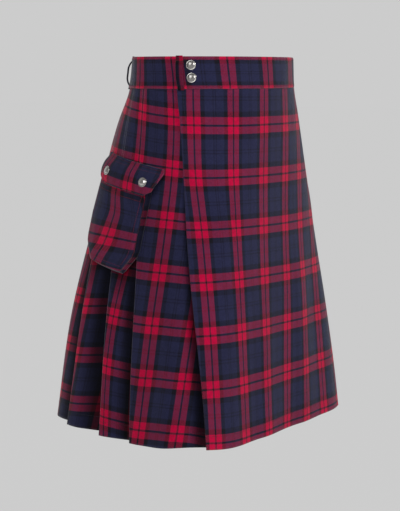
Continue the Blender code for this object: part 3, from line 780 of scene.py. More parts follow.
def panel_weave(depth, path, noses, opening):
    """The weave map of a panel. The side, and the first pleat where it is pressed flat, follow the
    ease tables. Any other face goes forward from its nose by stripe + drift t + bend t^2 + spread s
    less the distance before the nose, where t and s are the depth and that distance over their
    reach. Its hidden return takes up what lies between, or goes with the face where it is pressed."""
    along = path[..., 0]
    length = walked_to(path)
    across = along + eased(SIDE_STRIPE_EASE, SIDE_EASE_ARCS, along, depth)
    down = depth[:, None] + eased(SIDE_ROW_EASE, SIDE_EASE_ARCS, along, depth)
    t = ((depth - FACE_MIDDLE_DEPTH) / FACE_DEPTH_REACH)[:, None]
    plain_down = (depth / (1 + FACE_ROWS_STRETCH * depth / SKIRT_LENGTH))[:, None] + FACE_ROWS_START
    by_fold = smooth(depth, *FACE_DEPTHS)[:, None]
    pressed = 1 - opening[:, None]
    for i, (stripe, drift, bend, spread, lift, drop, slope) in enumerate(FACE_ROWS / 1000):
        nose = noses[i + 1]
        before, first = noses[i] + TIP, noses[i] + NOSE_COLUMNS + INNER_COLUMNS // 2
        face, hidden, under = slice(first, nose + TIP + 1), slice(before, first + 1), slice(before + 1, first)
        to_nose = length[:, [nose]] - length[:, face]
        s = to_nose / FACE_REACH
        bent, by_face = (t, by_fold) if i == 0 else (np.maximum(t, -1.0), 1.0)
        start = STRIPE_REPEAT * (i + 2) + stripe
        face_across = start + drift * bent + bend * bent**2 + spread * s - to_nose
        face_down = plain_down + lift + drop * t + slope * s
        across[:, face] = mixed(across[:, face], face_across, by_face)
        down[:, face] = mixed(down[:, face], face_down, by_fold)
        share = length[:, hidden] - length[:, [before]]
        share = share / share[:, -1:]
        for weave in (across, down):
            weave[:, hidden] = mixed(weave[:, [before]], weave[:, [first]], share)
        if i > 0:
            own = across[:, [first]] - length[:, [first]] + length[:, under]
            across[:, under] = mixed(across[:, under], own, pressed)
    last = noses[-1] + TIP
    across[:, last:] = across[:, [last]] + length[:, last:] - length[:, [last]]
    down[:, last:] = down[:, [last]]
    return weave_map(across, down)


panel_depth = np.linspace(SEAM_GAP, SKIRT_LENGTH, PANEL_ROW_COUNT)
panel_path, nose_columns, opening_by_row = panel_paths(panel_depth)
panel_map = panel_weave(panel_depth, panel_path, nose_columns, opening_by_row)
pleat_edges = [edge[:, None] for edge, _, _ in pleat_columns(panel_depth)[0]]
# Painted shade in the depth of each fold: full from the nose's under side to the inner fold, fading
# out along the face behind it. Painted shadows too beside the apron's loose edge and under the pocket.
FOLD_FADES = (0.56, 0.80, 0.72, 0.72, 0.72, 0.70)
FULL_SHADE_SHARE = 0.42
APRON_SHADE = 0.95
APRON_SHADE_REACH, APRON_SHADE_GROWTH = 0.0035, 0.014
APRON_SHADE_DEPTHS = (APRON_RELEASE - 0.02, 0.21)
APRON_SHADE_END = 0.01
BAG_SHADE = 0.8
BAG_SHADE_FROM, BAG_SHADE_TO, BAG_SHADE_SIDES = (0.10, 0.15), (0.181, 0.236), (0.044, 0.062)
NOSE_WEAR, OPEN_NOSE_HIGHLIGHT = 0.15, 0.55
POCKET_ARC = 0.0475
POCKET_DEPTH = 0.112
POCKET_TILT = math.radians(10.0)
open_rows = opening_by_row[:, None]
level = panel_depth[:, None]
arc = panel_path[..., 0]
panel_wear_and_painted_light = np.zeros(arc.shape)
for i, fold_fade in enumerate(FOLD_FADES):
    behind_nose = slice(nose_columns[i] + TIP + 1, nose_columns[i + 1])
    share = (arc[:, behind_nose] - pleat_edges[i]) / (pleat_edges[i + 1] - pleat_edges[i])
    panel_wear_and_painted_light[:, behind_nose] = -open_rows * (1 - smooth(share, FULL_SHADE_SHARE * fold_fade, fold_fade))
panel_wear_and_painted_light[:, nose_columns[-1] + TIP + 1:] = -open_rows
past_edge = np.maximum(arc - (apron_half(panel_depth) - arc_to(FRONT, panel_depth))[:, None], 0)
reach = APRON_SHADE_GROWTH * smooth(level, APRON_RELEASE, SKIRT_LENGTH) + APRON_SHADE_REACH
beside_apron = bell(past_edge, reach) * smooth(level, *APRON_SHADE_DEPTHS) * (arc < APRON_SHADE_END)
from_arc, from_depth = arc - POCKET_ARC, level - POCKET_DEPTH
pocket_across = from_arc * math.cos(POCKET_TILT) - from_depth * math.sin(POCKET_TILT)
pocket_down = from_arc * math.sin(POCKET_TILT) + from_depth * math.cos(POCKET_TILT)
under_bag = ((1 - smooth(pocket_down, *BAG_SHADE_TO)) * smooth(pocket_down, *BAG_SHADE_FROM)
             * (1 - smooth(np.abs(pocket_across), *BAG_SHADE_SIDES)))
for shade in (APRON_SHADE * beside_apron, BAG_SHADE * under_bag):
    panel_wear_and_painted_light = np.minimum(panel_wear_and_painted_light, -shade)
# Each pleat's nose is lighter: a little wear all down it, and a painted highlight where the pleats stand
# open.
for nose_column in nose_columns:
    past_tip = nose_column + TIP + 1
    panel_wear_and_painted_light[:, past_tip - LIGHTER_NOSE_COLUMNS:past_tip] = NOSE_WEAR + OPEN_NOSE_HIGHLIGHT * open_rows
panel_path[..., 1] += creases(arc, level, PANEL_CREASES)
hem_row = row_near(panel_depth, SKIRT_LENGTH - HEM_FROM_EDGE)
for side_name, side in SIDES:
    outer, inner = cloth_faces(panel_path, panel_depth, functools.partial(place, side))
    add_cloth("pleated_cloth_" + side_name, "pleated_panel_" + side_name, "tartan_cloth", outer, inner,
              panel_map + np.array((0.0 if side == RIGHT else LEFT_STRIPE_SHIFT, 0.0)), panel_wear_and_painted_light,
              (0.90, 0.571), "gathered", ["waistband_back"])
    add_stitches("panel_" + side_name, [seam_on(outer, row=hem_row)], NAVY_SEWING)

# Waistband: two straight doubled strips with an edge stitched all round. The front one lies over the
# apron's seam, and its ends lap over the back one, where the press studs close it at both hips.
BAND_SOLID = 0.0028
BAND_CLOTH = 0.0026
FRONT_BAND_OUT = 0.0035
BACK_BAND_OUT = 0.0002
BAND_HALF = 0.1865
BACK_BAND_HALF = float(arc_to(FRONT, 0.0)[0] + arc_to(BACK, 0.0)[0]) - (BAND_HALF - UNDERLAP)
BAND_ROWS = 17
BAND_ROUND, BAND_EDGE_SHARE = 0.0012, 0.04
BAND_PUCKER, BAND_PUCKER_PACE, BAND_PUCKER_REACH = 0.00022, 520, 0.004
BAND_SEAM = 0.0042
# Waves of the whole band: height, pace along and down it, and start.
BAND_WAVES = ((0.0005, 41, 0, 1.0), (0.0003, 97, 60, 0.0))
BAND_WEAR_REACH = 0.0016
BAND_SEAM_ROWS = (3, -4)
# How the weave lies on the front strip, up it and along it, and on the back one.
FRONT_BAND_STRIPES = 1.12
FRONT_BAND_START, FRONT_BAND_PACE, FRONT_BAND_BOW, FRONT_BAND_SLANT = 0.0233, 0.926, -0.13, -0.075
BACK_BAND_START, BACK_BAND_FLARE, BACK_BAND_ROWS = 0.1802, 1.25, 1.30


def rounded(from_edge, reach, least):
    """Share of a wall's thickness near its rounded edge: sqrt(v / reach), from a least share to 1."""
    return np.sqrt(np.clip(from_edge / reach, least, 1.0))


def band_grids(half_width, out, columns, end):
    """Outer and inner rows of a doubled strip whose long edges are rounded, with slight puckers
    along both rows of stitches: p sin(k along) near the edges. Also its places along and down from
    its middle line, and how worn it is."""
    depth = -BAND_HEIGHT + BAND_HEIGHT * (1 - np.cos(np.linspace(0, math.pi, BAND_ROWS))) / 2
    along = np.broadcast_to(np.linspace(-half_width, half_width, columns), (BAND_ROWS, columns))
    from_edge = np.minimum(depth + BAND_HEIGHT, -depth)[:, None]
    swell = BAND_CLOTH / 2 * rounded(from_edge, BAND_ROUND, BAND_EDGE_SHARE)
    pucker = BAND_PUCKER * np.sin(along * BAND_PUCKER_PACE) * bell(from_edge - BAND_SEAM, BAND_PUCKER_REACH)
    wave = sum(high * np.sin(along * a + depth[:, None] * b + start) for high, a, b, start in BAND_WAVES)
    outer = place_across(along, out + swell + pucker + wave, depth, end)
    inner = place_across(along, out - swell + pucker * 0.5 + wave, depth, end)
    wear_and_painted_light = np.broadcast_to(bell(from_edge, BAND_WEAR_REACH), along.shape)
    return outer, inner, along, (depth + BAND_HEIGHT / 2)[:, None], wear_and_painted_light


# The front strip is cut down the cloth, so the weave's rows stand upright on it and the navy between
# two of its stripes fills it, with their red along both edges.
outer, inner, along, from_middle, wear_and_painted_light = band_grids(BAND_HALF, FRONT_BAND_OUT, 170, FRONT)
band_map = weave_map(FRONT_BAND_STRIPES * from_middle + STRIPE_REPEAT / 2,
                     FRONT_BAND_PACE * along + FRONT_BAND_BOW * along**2 + FRONT_BAND_START
                     + FRONT_BAND_SLANT * from_middle)
add_cloth("band_cloth_front", "waistband_front", "band_cloth", outer, inner, band_map, wear_and_painted_light,
          (0.373, 0.050), "folded", ["front_apron"])
add_stitches("band_front", [seam_on(outer, row=k) for k in BAND_SEAM_ROWS]
             + [seam_on(outer, column=k, first=2, last=-2) for k in (1, -2)], NAVY_SEWING)
outer, inner, along, from_middle, wear_and_painted_light = band_grids(BACK_BAND_HALF, BACK_BAND_OUT, 230, BACK)
band_map = weave_map(along * (1 - BACK_BAND_FLARE * from_middle) + BACK_BAND_START,
                     BACK_BAND_ROWS * from_middle + ROW_REPEAT / 2)
add_cloth("band_cloth_back", "waistband_back", "band_cloth", outer, inner, band_map, wear_and_painted_light,
          (2 * BACK_BAND_HALF, 0.050), "folded", ["pleated_panel_right", "pleated_panel_left"])
add_stitches("band_back", [seam_on(outer, row=k) for k in BAND_SEAM_ROWS], NAVY_SEWING)

# Belt loops: five narrow strips of folded twill, sewn at the band's top edge and just under it and
# bowed off it between, one by each end of the front band, one on each side of the back, one behind.
LOOP_WIDTH = 0.010
LOOP_SOLID = 0.0016
LOOP_CLOTH = 0.0015
LOOP_ROUND, LOOP_EDGE_SHARE = 0.0007, 0.05
LOOP_BOW = 0.0064
LOOP_BOW_MOST = 1.02
LOOP_ROWS = np.array([
    (-0.0512, 0.0), (-0.0450, 0.0), (-0.0400, 0.55), (-0.0340, 0.93), (-0.0240, 1.0),
    (-0.0140, 0.93), (-0.0080, 0.55), (-0.0030, 0.0), (0.0020, 0.0)])
LOOP_POINTS = 33
LOOP_LENGTH = 0.062
LOOP_ROW_START = 0.0027
LOOP_SHADE, LOOP_BACK_SHADE, LOOP_SHADE_FROM, LOOP_SHADE_TO = -0.40, -0.25, -0.001, 0.002
LOOP_TACK_ROWS = (2, 3, -4, -3)
TACK = 0.0009
TACK_PITCH = 0.0011
# Each loop's side, its arc (none is the front band's end), the band it is on, and its stripe.
LOOPS = (
    ("right_front", RIGHT, None, FRONT_BAND_OUT, -0.0103),
    ("right_back", RIGHT, 0.120, BACK_BAND_OUT, 0.020),
    ("centre_back", LEFT, "centre", BACK_BAND_OUT, 0.000),
    ("left_back", LEFT, 0.120, BACK_BAND_OUT, 0.031),
    ("left_front", LEFT, None, FRONT_BAND_OUT, 0.012),
)


def loop_points(side, where, across, out, depth):
    """World points on a loop, by rows of distances across it."""
    if where == "centre":
        return place_across(across, out, depth, BACK)
    at_end = BAND_HALF - LOOP_WIDTH / 2 - arc_to(FRONT, np.clip(depth, -BAND_HEIGHT, 0.0))
    arc = at_end if where is None else np.full(len(depth), where)
    return place(side, arc[:, None] + across, out, depth)


# The middle line of a loop: the smooth curve of its rows' depth and bow by the distance walked.
key = walked_to(LOOP_ROWS * (1, LOOP_BOW))
loop_line = through_rows(np.column_stack([key, LOOP_ROWS]), np.linspace(0.0, key[-1], LOOP_POINTS))[:, 1:]
loop_line[:, 1] = LOOP_BOW * np.clip(loop_line[:, 1], 0.0, LOOP_BOW_MOST)
across = np.linspace(-LOOP_WIDTH / 2, LOOP_WIDTH / 2, 11)
edge_round = rounded(LOOP_WIDTH / 2 - np.abs(across), LOOP_ROUND, LOOP_EDGE_SHARE)
walked = np.linspace(0.0, LOOP_LENGTH, LOOP_POINTS)[:, None]
# Painted shade over every loop, deeper on one half of its width.
shaded = LOOP_SHADE + LOOP_BACK_SHADE * smooth(across, LOOP_SHADE_FROM, LOOP_SHADE_TO)
wear_and_painted_light = np.broadcast_to(shaded, (LOOP_POINTS, len(across)))
for loop_name, side, where, band_out, loop_stripe in LOOPS:
    strip = loop_line + (0.0, band_out + BAND_SOLID / 2 + SEAM_GAP + LOOP_SOLID / 2)
    faces = []
    for way in (1, -1):
        moved = moved_left(strip[None], way * LOOP_CLOTH / 2)[0]
        out = strip[:, 1:] + (moved[:, 1] - strip[:, 1])[:, None] * edge_round
        faces.append(loop_points(side, where, np.broadcast_to(across, out.shape), out, moved[:, 0]))
    add_cloth("loop_cloth_" + loop_name, "belt_loop_" + loop_name, "band_cloth", *faces,
              weave_map(across - loop_stripe, walked + LOOP_ROW_START), wear_and_painted_light, (LOOP_WIDTH, 0.060), "folded",
              ["waistband_front" if where is None else "waistband_back"])
    add_stitches("loop_" + loop_name, [seam_on(faces[0], row=k, first=1, last=-1) for k in LOOP_TACK_ROWS],
                 NAVY_SEWING, TACK, TACK_PITCH)

# Pocket bags: on each side a bellows bag with its mouth open under the flap. Its face is cut off at
# the lower corners, and its gusset folds in between the face and the skirt.
POCKET_SEAT = 0.0012
BAG_HALF = 0.060
BAG_INSET = 0.005
BAG_WALL = 0.0013
BAG_CROWN = 0.0012
BAG_EDGE_ROUND, BAG_EDGE_REACH = 0.0006, 0.004
BAG_BELLOWS = 0.0022
BAG_DEEP = 0.014
BAG_LEAST_HEIGHT = 0.0002
BAG_CORNER = 0.145
CREASE_FROM, CREASE_REACH = 0.004, 0.006
BAG_MOUTH, BAG_FOOT = 0.018, 0.1795
# The depth down the bag, its half width and its height over the skirt.
BAG_ROWS = np.array([
    (BAG_MOUTH, BAG_HALF, 0.0078),
    (0.055, BAG_HALF, 0.0110),
    (0.100, BAG_HALF, BAG_DEEP),
    (0.136, BAG_HALF, BAG_DEEP),
    (0.146, 0.0575, BAG_DEEP),
    (0.1730, 0.0405, 0.0120),
    (BAG_FOOT, 0.0350, 0.0004),
])
BAG_DOWNS = np.concatenate([np.linspace(BAG_MOUTH, 0.141, 40), np.linspace(0.1425, BAG_FOOT, 24)])
BAG_GUSSET_COLUMNS, BAG_FACE_COLUMNS = 12, 40
BAG_SEAM_ROW = 54
BAG_MOUTH_ROWS = (3, 12)
# The depth down the bag, and how far behind its middle the middle of its one stripe runs.
BAG_STRIPE_ROWS = np.array([
    (BAG_MOUTH, 0.0060), (0.055, 0.0030), (0.085, -0.0050), (0.105, -0.0030),
    (0.130, 0.0020), (0.145, 0.0075), (0.160, 0.0165), (0.180, 0.0270)])
BAG_CREASES = (
    (0.018, 0.040, 0.120, -0.25, 0.009, -0.0009),
    (-0.018, 0.060, 0.150, 0.22, 0.010, 0.0005),
    (0.036, 0.095, 0.165, -0.10, 0.009, 0.0008),
    (-0.034, 0.100, 0.175, 0.15, 0.009, -0.0005),
)
# How the weave lies on a bag: the stripe's scale and how it narrows down the bag, and the rows'
# start, scale, tilt, fan and bow. On the gusset it has its own scale.
BAG_STRIPE_SCALE, BAG_STRIPE_TAPER, BAG_CORNER_SPREAD = 1.05, 2.7, 0.3
BAG_ROWS_START, BAG_ROWS_SCALE, BAG_ROWS_TILT, BAG_ROWS_FAN, BAG_ROWS_BOW = 0.0492, 0.842, 0.06, 1.34, 0.24
BAG_FOOT_EASE, BAG_FOOT_EASE_FALLS = 0.030, (0.152, 0.181)
GUSSET_SCALE, GUSSET_FROM, GUSSET_START = 0.7, 0.006, 0.004
FACE_FROM = 0.0095
EDGE_RUB, EDGE_RUB_OUT, EDGE_RUB_REACH, EDGE_RUB_ACROSS = 0.10, 0.0135, 0.0010, 0.040
GUSSET_SHADE, GUSSET_SHADE_OUTS, GUSSET_SHADE_FALLS = 0.70, (0.0085, 0.0130), (0.145, 0.171)
MOUTH_SHADE, MOUTH_SHADE_OUT, MOUTH_SHADE_FALLS = 0.85, 0.0125, (0.050, 0.058)


def place_on_pocket(side, across, down, out):
    """World points by the pocket's own tilted axes: across to the back, down, and out.

    The arc is across cos T + down sin T from the pocket's, and the depth down cos T - across sin T."""
    across, down, out = np.broadcast_arrays(across, down, out)
    arc = POCKET_ARC + across * math.cos(POCKET_TILT) + down * math.sin(POCKET_TILT)
    level = POCKET_DEPTH - across * math.sin(POCKET_TILT) + down * math.cos(POCKET_TILT)
    return place(side, arc.reshape(-1, 1), out.reshape(-1, 1), level.ravel()).reshape(across.shape + (3,))


def bag_section(half_width, height, inset):
    """Across and out of one row of a bag: gusset, face, gusset. The gusset's own line folds in by a
    half sine at its middle height."""
    base = half_width - inset
    face_half = base - BAG_INSET
    height = max(height - inset, BAG_LEAST_HEIGHT)
    rise = np.linspace(0.0, 1.0, BAG_GUSSET_COLUMNS)
    gusset = base - BAG_INSET * rise**2 - BAG_BELLOWS * np.sin(math.pi * rise)**2
    face = face_half * np.linspace(-1, 1, BAG_FACE_COLUMNS + 2)[1:-1]
    corner = np.clip((face_half - np.abs(face)) / BAG_EDGE_REACH, 0, 1)
    crown = BAG_CROWN * (1 - (face / BAG_HALF)**2) * corner + BAG_EDGE_ROUND * (np.sqrt(corner) - 1)
    return (np.concatenate([-gusset, face, gusset[::-1]]),
            np.concatenate([height * rise, height + crown, height * rise[::-1]]))


def bag_grid(side, inset):
    """Points of a bag's outer wall, or moved in by a wall its inner one, with its face creased by
    the weight of the cloth, and each point's distances across, down and out."""
    sizes = between(BAG_DOWNS, BAG_ROWS[:, 0], BAG_ROWS[:, 1:])
    sections = [bag_section(width, height, inset) for width, height in sizes]
    across, out = np.moveaxis(np.array(sections), 1, 0)
    fall = (BAG_DOWNS - inset * (BAG_DOWNS > BAG_CORNER))[:, None]
    folds = creases(across, fall, BAG_CREASES) * np.clip((out - CREASE_FROM) / CREASE_REACH, 0, 1)
    return place_on_pocket(side, across, fall, POCKET_SEAT + out + folds), across, fall, out


for side_name, side in SIDES:
    outer, across, fall, out = bag_grid(side, 0.0)
    spread = across + BAG_CORNER_SPREAD * np.sign(across) * (BAG_DEEP - np.minimum(out, BAG_DEEP))
    stripe_at = through_rows(BAG_STRIPE_ROWS, fall[:, 0])[:, 1:]
    fan = across * (BAG_ROWS_TILT - BAG_ROWS_FAN * fall) - BAG_ROWS_BOW * across**2
    at_foot = BAG_FOOT_EASE * smooth(fall, *BAG_FOOT_EASE_FALLS)
    face_map = weave_map((spread - stripe_at) * (BAG_STRIPE_SCALE - BAG_STRIPE_TAPER * fall),
                         BAG_ROWS_START + BAG_ROWS_SCALE * fall + fan + at_foot)
    gusset_map = weave_map(STRIPE_REPEAT / 2 + GUSSET_SCALE * (out - GUSSET_FROM), fall - GUSSET_START)
    # A little wear on the face's corners, painted shade on the gusset and a painted shadow of the flap across
    # the top of the face.
    on_corner = bell(out - EDGE_RUB_OUT, EDGE_RUB_REACH) * (np.abs(across) > EDGE_RUB_ACROSS)
    on_gusset = (1 - smooth(out, *GUSSET_SHADE_OUTS)) * (1 - smooth(fall, *GUSSET_SHADE_FALLS))
    by_mouth = (1 - smooth(fall, *MOUTH_SHADE_FALLS)) * (out > MOUTH_SHADE_OUT)
    add_cloth("pocket_cloth_" + side_name, "pocket_bag_" + side_name, "pocket_cloth", outer,
              bag_grid(side, BAG_WALL)[0], np.where(out[..., None] < FACE_FROM, gusset_map, face_map),
              EDGE_RUB * on_corner - GUSSET_SHADE * on_gusset - MOUTH_SHADE * by_mouth,
              (0.150, 0.176), "folded", ["pleated_panel_" + side_name])
    column = BAG_GUSSET_COLUMNS + 1
    add_stitches("bag_" + side_name, [
        *(seam_on(outer, column=k, first=1, last=BAG_SEAM_ROW) for k in (column, -1 - column)),
        *(seam_on(outer, row=k, first=column, last=-column) for k in (BAG_SEAM_ROW, *BAG_MOUTH_ROWS))],
        WINE_SEWING)

# Pocket flaps: doubled cloth with cut lower corners, sewn to the skirt along the top, lying over the
# mouth of each bag and snapped to it by two studs. Its ends droop past the bag.
FLAP_SOLID = 0.0016
FLAP_WALL = 0.0015
FLAP_SHIFT = -0.009
FLAP_DROOP = 0.0022
FLAP_DROOP_FROM, FLAP_DROOP_REACH = 0.052, 0.016
FLAP_LENGTH = 0.045
FLAP_SEAM = 0.0030
FLAP_SEAM_DIP = 0.00045
FLAP_TOP_SEAMS = (0.0030, 0.0080)
FLAP_EDGE_ROUND, FLAP_EDGE_SHARE = 0.0008, 0.06
FLAP_WEAR_REACH = 0.0012
# Relief of the flap: height of its wave and dimples, the wave's pace and start, the dimple's ring.
FLAP_RELIEF, FLAP_WAVE_PACE, FLAP_WAVE_START, DIMPLE_RADIUS, DIMPLE_REACH = 0.0005, 95, 0.8, 0.011, 0.0035
FLAP_SEWN, FLAP_WAVE_FROM = 0.006, 0.015
STITCH_SUNK = 0.0003
# The depth down the flap, its half width and its height over the skirt.
FLAP_ROWS = np.array([
    (0.000, 0.0660, 0.0022),
    (0.006, 0.0680, 0.0058),
    (0.014, 0.0665, 0.0114),
    (0.023, 0.0640, 0.0146),
    (0.036, 0.0590, 0.0158),
    (FLAP_LENGTH, 0.0450, 0.0155),
])
FLAP_DOWNS = np.concatenate([np.linspace(0, 0.036, 25), np.linspace(0.0375, FLAP_LENGTH, 8)])
# Columns stand closer towards both ends: the sine of evenly spaced angles just short of a quarter turn.
FLAP_ANGLES = np.linspace(-1, 1, 71) * math.pi / 2 * 0.97
# How the weave lies on a flap: its stripes' and its rows' shares of the distances across and down,
# and their starts. Towards the front end the cloth is eased by a further share.
FLAP_STRIPES_ACROSS, FLAP_STRIPES_DOWN, FLAP_STRIPES_START = 1.1305, 0.0821, 0.0109
FLAP_ROWS_ACROSS, FLAP_ROWS_DOWN, FLAP_ROWS_START = -0.0057, 0.892, 0.0378
FLAP_EASE, FLAP_EASE_FROM = 0.24, 0.045
FLAP_CAP_ACROSS = 0.040
FLAP_CAP_DOWN = 0.0245


def flap_out(across, down):
    """Height of the flap's middle over the skirt: its rows, less the droop of its ends, with a
    dimple round each stud and a soft wave along the free edge."""
    rows = through_rows(FLAP_ROWS, np.ravel(down))[:, 2].reshape(np.shape(down))
    past_bag = np.clip((np.abs(across) - FLAP_DROOP_FROM) / FLAP_DROOP_REACH, 0, 1)
    relief = np.sin(across * FLAP_WAVE_PACE + FLAP_WAVE_START) * smooth(down, FLAP_WAVE_FROM, FLAP_LENGTH)
    for end in (-1, 1):
        away = np.hypot(across - end * FLAP_CAP_ACROSS, down - FLAP_CAP_DOWN)
        relief = relief + bell(away - DIMPLE_RADIUS, DIMPLE_REACH)
    return rows + (FLAP_RELIEF * relief - FLAP_DROOP * past_bag**2) * np.clip(down / FLAP_SEWN, 0, 1)


def flap_points(side, across, down, lift):
    """World points over the flap's middle at distances across and down it."""
    across, down, lift = np.broadcast_arrays(np.asarray(across, float), np.asarray(down, float), lift)
    return place_on_pocket(side, across + FLAP_SHIFT, down, flap_out(across, down) + lift)


half = np.interp(FLAP_DOWNS, FLAP_ROWS[:, 0], FLAP_ROWS[:, 1])[:, None]
across = half * np.sin(FLAP_ANGLES) / math.sin(FLAP_ANGLES[-1])
down = np.broadcast_to(FLAP_DOWNS[:, None], across.shape)
from_edge = np.minimum(half - np.abs(across), FLAP_LENGTH - down)
lift = (FLAP_WALL / 2 * rounded(from_edge, FLAP_EDGE_ROUND, FLAP_EDGE_SHARE)
        - FLAP_SEAM_DIP * bell(from_edge - FLAP_SEAM, FLAP_EDGE_ROUND))
eased_across = across + FLAP_EASE * np.maximum(-across - FLAP_EASE_FROM, 0.0)
flap_map = weave_map(FLAP_STRIPES_ACROSS * eased_across + FLAP_STRIPES_DOWN * down + FLAP_STRIPES_START,
                     FLAP_ROWS_ACROSS * across + FLAP_ROWS_DOWN * down + FLAP_ROWS_START)
# Its seams: one round the ends and the free edge, and two across the top.
seam_down = np.linspace(FLAP_TOP_SEAMS[0], FLAP_LENGTH - FLAP_SEAM, 30)
seam_half = np.interp(seam_down + FLAP_SEAM * 0.4, FLAP_ROWS[:, 0], FLAP_ROWS[:, 1]) - FLAP_SEAM
level_across = np.linspace(-seam_half[-1], seam_half[-1], 40)
top_across = np.linspace(-1, 1, 60) * (FLAP_ROWS[0, 1] - FLAP_SEAM)
flap_seams = [(np.concatenate([-seam_half[:-1], level_across, seam_half[-2::-1]]),
               np.concatenate([seam_down[:-1], np.full(40, seam_down[-1]), seam_down[-2::-1]]))]
flap_seams += [(top_across, np.full(60, top_down)) for top_down in FLAP_TOP_SEAMS]
for side_name, side in SIDES:
    add_cloth("flap_cloth_" + side_name, "pocket_flap_" + side_name, "pocket_cloth",
              flap_points(side, across, down, lift), flap_points(side, across, down, -lift), flap_map,
              bell(from_edge, FLAP_WEAR_REACH), (0.136, 0.045), "folded", ["pocket_bag_" + side_name])
    seams = []
    for line in flap_seams:
        low, high = (flap_points(side, *line, FLAP_WALL / 2 - STITCH_SUNK + rise) for rise in (0.0, 0.001))
        seams.append((low, unit(high - low)))
    add_stitches("flap_" + side_name, seams, WINE_SEWING)

# Press studs: spun caps of nickel-plated brass, a rolled rim round a shallow groove and a dome. Two
# close each flap and two each end of the front band.
CAP_RADIUS = 0.0076
CAP_SEGMENTS = 56
CAP_SEAT_GAP = 0.0004
CAP_HALF_STEP = 0.004
# The profile of a cap from the middle of its seat to its top: share of the radius, and height.
CAP_ROWS = np.array([
    (0.0000, 0.00000), (0.9200, 0.00000), (0.9850, 0.00025), (1.0000, 0.00070), (0.9750, 0.00115),
    (0.9100, 0.00135), (0.8500, 0.00120), (0.8100, 0.00105), (0.7600, 0.00135), (0.6600, 0.00190),
    (0.5200, 0.00238), (0.3600, 0.00275), (0.1800, 0.00298), (0.0000, 0.00305)])
BAND_CAP_FROM_END = 0.0215
BAND_CAP_DEPTHS = (("upper", -0.0367), ("lower", -0.0173))
# How dark each dome is painted, as a painted dark reflection: far darker on the band's caps than the flap's.
FLAP_DOME_PAINTED_DARK, BAND_DOME_PAINTED_DARK = 0.12, 0.62
# Where the painted dark lies, by the share of a cap's radius, and the height over which it starts:
# painted shade in the groove and a painted dark reflection on the dome.
GROOVE_AT, GROOVE_REACH, DOME_SHARES, PAINTED_DARK_FROM = 0.80, 0.06, (0.86, 0.70), 0.0008
CLOUD = (900.0, 4.0)
PAINTED_DARK_BY_MARK, MOTTLE_BY_CLOUD = 0.85, 0.15
ROUGHNESS_BY_GROOVE, ROUGHNESS_BY_CLOUD, LEAST_ROUGHNESS = 0.20, 0.14, 0.10
BRIGHT_NICKEL = (0.74, 0.72, 0.69, 1.0)
PAINTED_DARK_NICKEL = (0.07, 0.065, 0.065, 1.0)


def nickel_finish():
    """Polished plate, bright on its rolled rim, with painted shade in the groove and a painted dark
    reflection on the dome.
    """
    finish, shader, start = new_finish("polished_nickel", {"Metallic": 1.0, "Specular IOR Level": 0.5})
    cloud = start.noise(*CLOUD)
    groove = start.wear_and_painted_light()
    # Painted dark: painted shade in the groove and a painted dark reflection on the dome, with a faint
    # mottle.
    painted_dark = groove * PAINTED_DARK_BY_MARK + cloud * MOTTLE_BY_CLOUD
    painted_dark.blend(BRIGHT_NICKEL, PAINTED_DARK_NICKEL).into(shader, "Base Color")
    roughness = cloud * ROUGHNESS_BY_CLOUD + groove * ROUGHNESS_BY_GROOVE + LEAST_ROUGHNESS
    roughness.into(shader, "Roughness")
    return finish


NICKEL = nickel_finish()


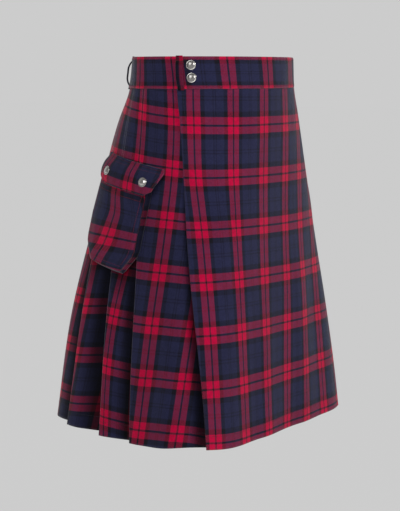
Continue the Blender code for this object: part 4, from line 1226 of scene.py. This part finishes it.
def add_cap(name, node, dome_painted_dark, point_at, side):
    """A cap turned from its profile about its own axis, (r cos a, r sin a, h), on a surface point
    function of (u, v)."""
    step = CAP_HALF_STEP
    axis = np.cross(point_at(step, 0.0) - point_at(-step, 0.0), point_at(0.0, step) - point_at(0.0, -step))
    axis = unit(axis) * np.sign(axis[0] * side)
    turn = np.array(Vector((0, 0, 1)).rotation_difference(Vector(axis)).to_matrix())
    angle = 2 * math.pi * np.arange(CAP_SEGMENTS) / CAP_SEGMENTS
    rings = CAP_ROWS[1:-1]
    radius, height = rings[:, :1] * CAP_RADIUS, np.broadcast_to(rings[:, 1:], (len(rings), CAP_SEGMENTS))
    ring_points = np.stack([radius * np.cos(angle), radius * np.sin(angle), height], axis=-1)
    seat, crown = ([(0.0, 0.0, high)] for high in CAP_ROWS[[0, -1], 1])
    local = np.concatenate([seat, ring_points.reshape(-1, 3), crown])
    top = len(local) - 1
    last = top - CAP_SEGMENTS
    pairs = [(k, (k + 1) % CAP_SEGMENTS) for k in range(CAP_SEGMENTS)]
    faces = [(0, 1 + b, 1 + a) for a, b in pairs] + [(top, last + a, last + b) for a, b in pairs]
    for low in range(1, last, CAP_SEGMENTS):
        high = low + CAP_SEGMENTS
        faces += [(low + a, low + b, high + b, high + a) for a, b in pairs]
    share = np.hypot(local[:, 0], local[:, 1]) / CAP_RADIUS
    # Painted shade in the groove and a painted dark reflection on the dome.
    painted_dark = np.maximum(bell(share - GROOVE_AT, GROOVE_REACH), dome_painted_dark * smooth(share, *DOME_SHARES))
    cap = add_piece(name, local @ turn.T + point_at(0.0, 0.0), faces, NICKEL, None,
                    painted_dark * (local[:, 2] > PAINTED_DARK_FROM))
    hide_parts(node)


def on_flap(u, v, side, end):
    """Point on the flap's outer face, by its distances from the middle of a cap near one end."""
    down = np.array([FLAP_CAP_DOWN + v])
    out = through_rows(FLAP_ROWS, down)[:, 2] + FLAP_SOLID / 2 + CAP_SEAT_GAP
    return place_on_pocket(side, np.array([FLAP_SHIFT + end * FLAP_CAP_ACROSS + u]), down, out)[0]


def on_band(u, v, side, depth):
    """Point on the front band's outer face, by its distances from the middle of a cap."""
    across = np.array([[side * (BAND_HALF - BAND_CAP_FROM_END) + u]])
    out = np.array([[FRONT_BAND_OUT + BAND_SOLID / 2 + CAP_SEAT_GAP]])
    return place_across(across, out, np.array([depth + v]))[0, 0]


for side_name, side in SIDES:
    for end_name, end in (("front", -1), ("back", 1)):
        place_name = side_name + "_" + end_name
        add_cap("cap_flap_" + place_name, "flap_stud_" + place_name, FLAP_DOME_PAINTED_DARK,
                functools.partial(on_flap, side=side, end=end), side)
    for level_name, depth in BAND_CAP_DEPTHS:
        place_name = side_name + "_" + level_name
        add_cap("cap_band_" + place_name, "band_stud_" + place_name, BAND_DOME_PAINTED_DARK,
                functools.partial(on_band, side=side, depth=depth), side)
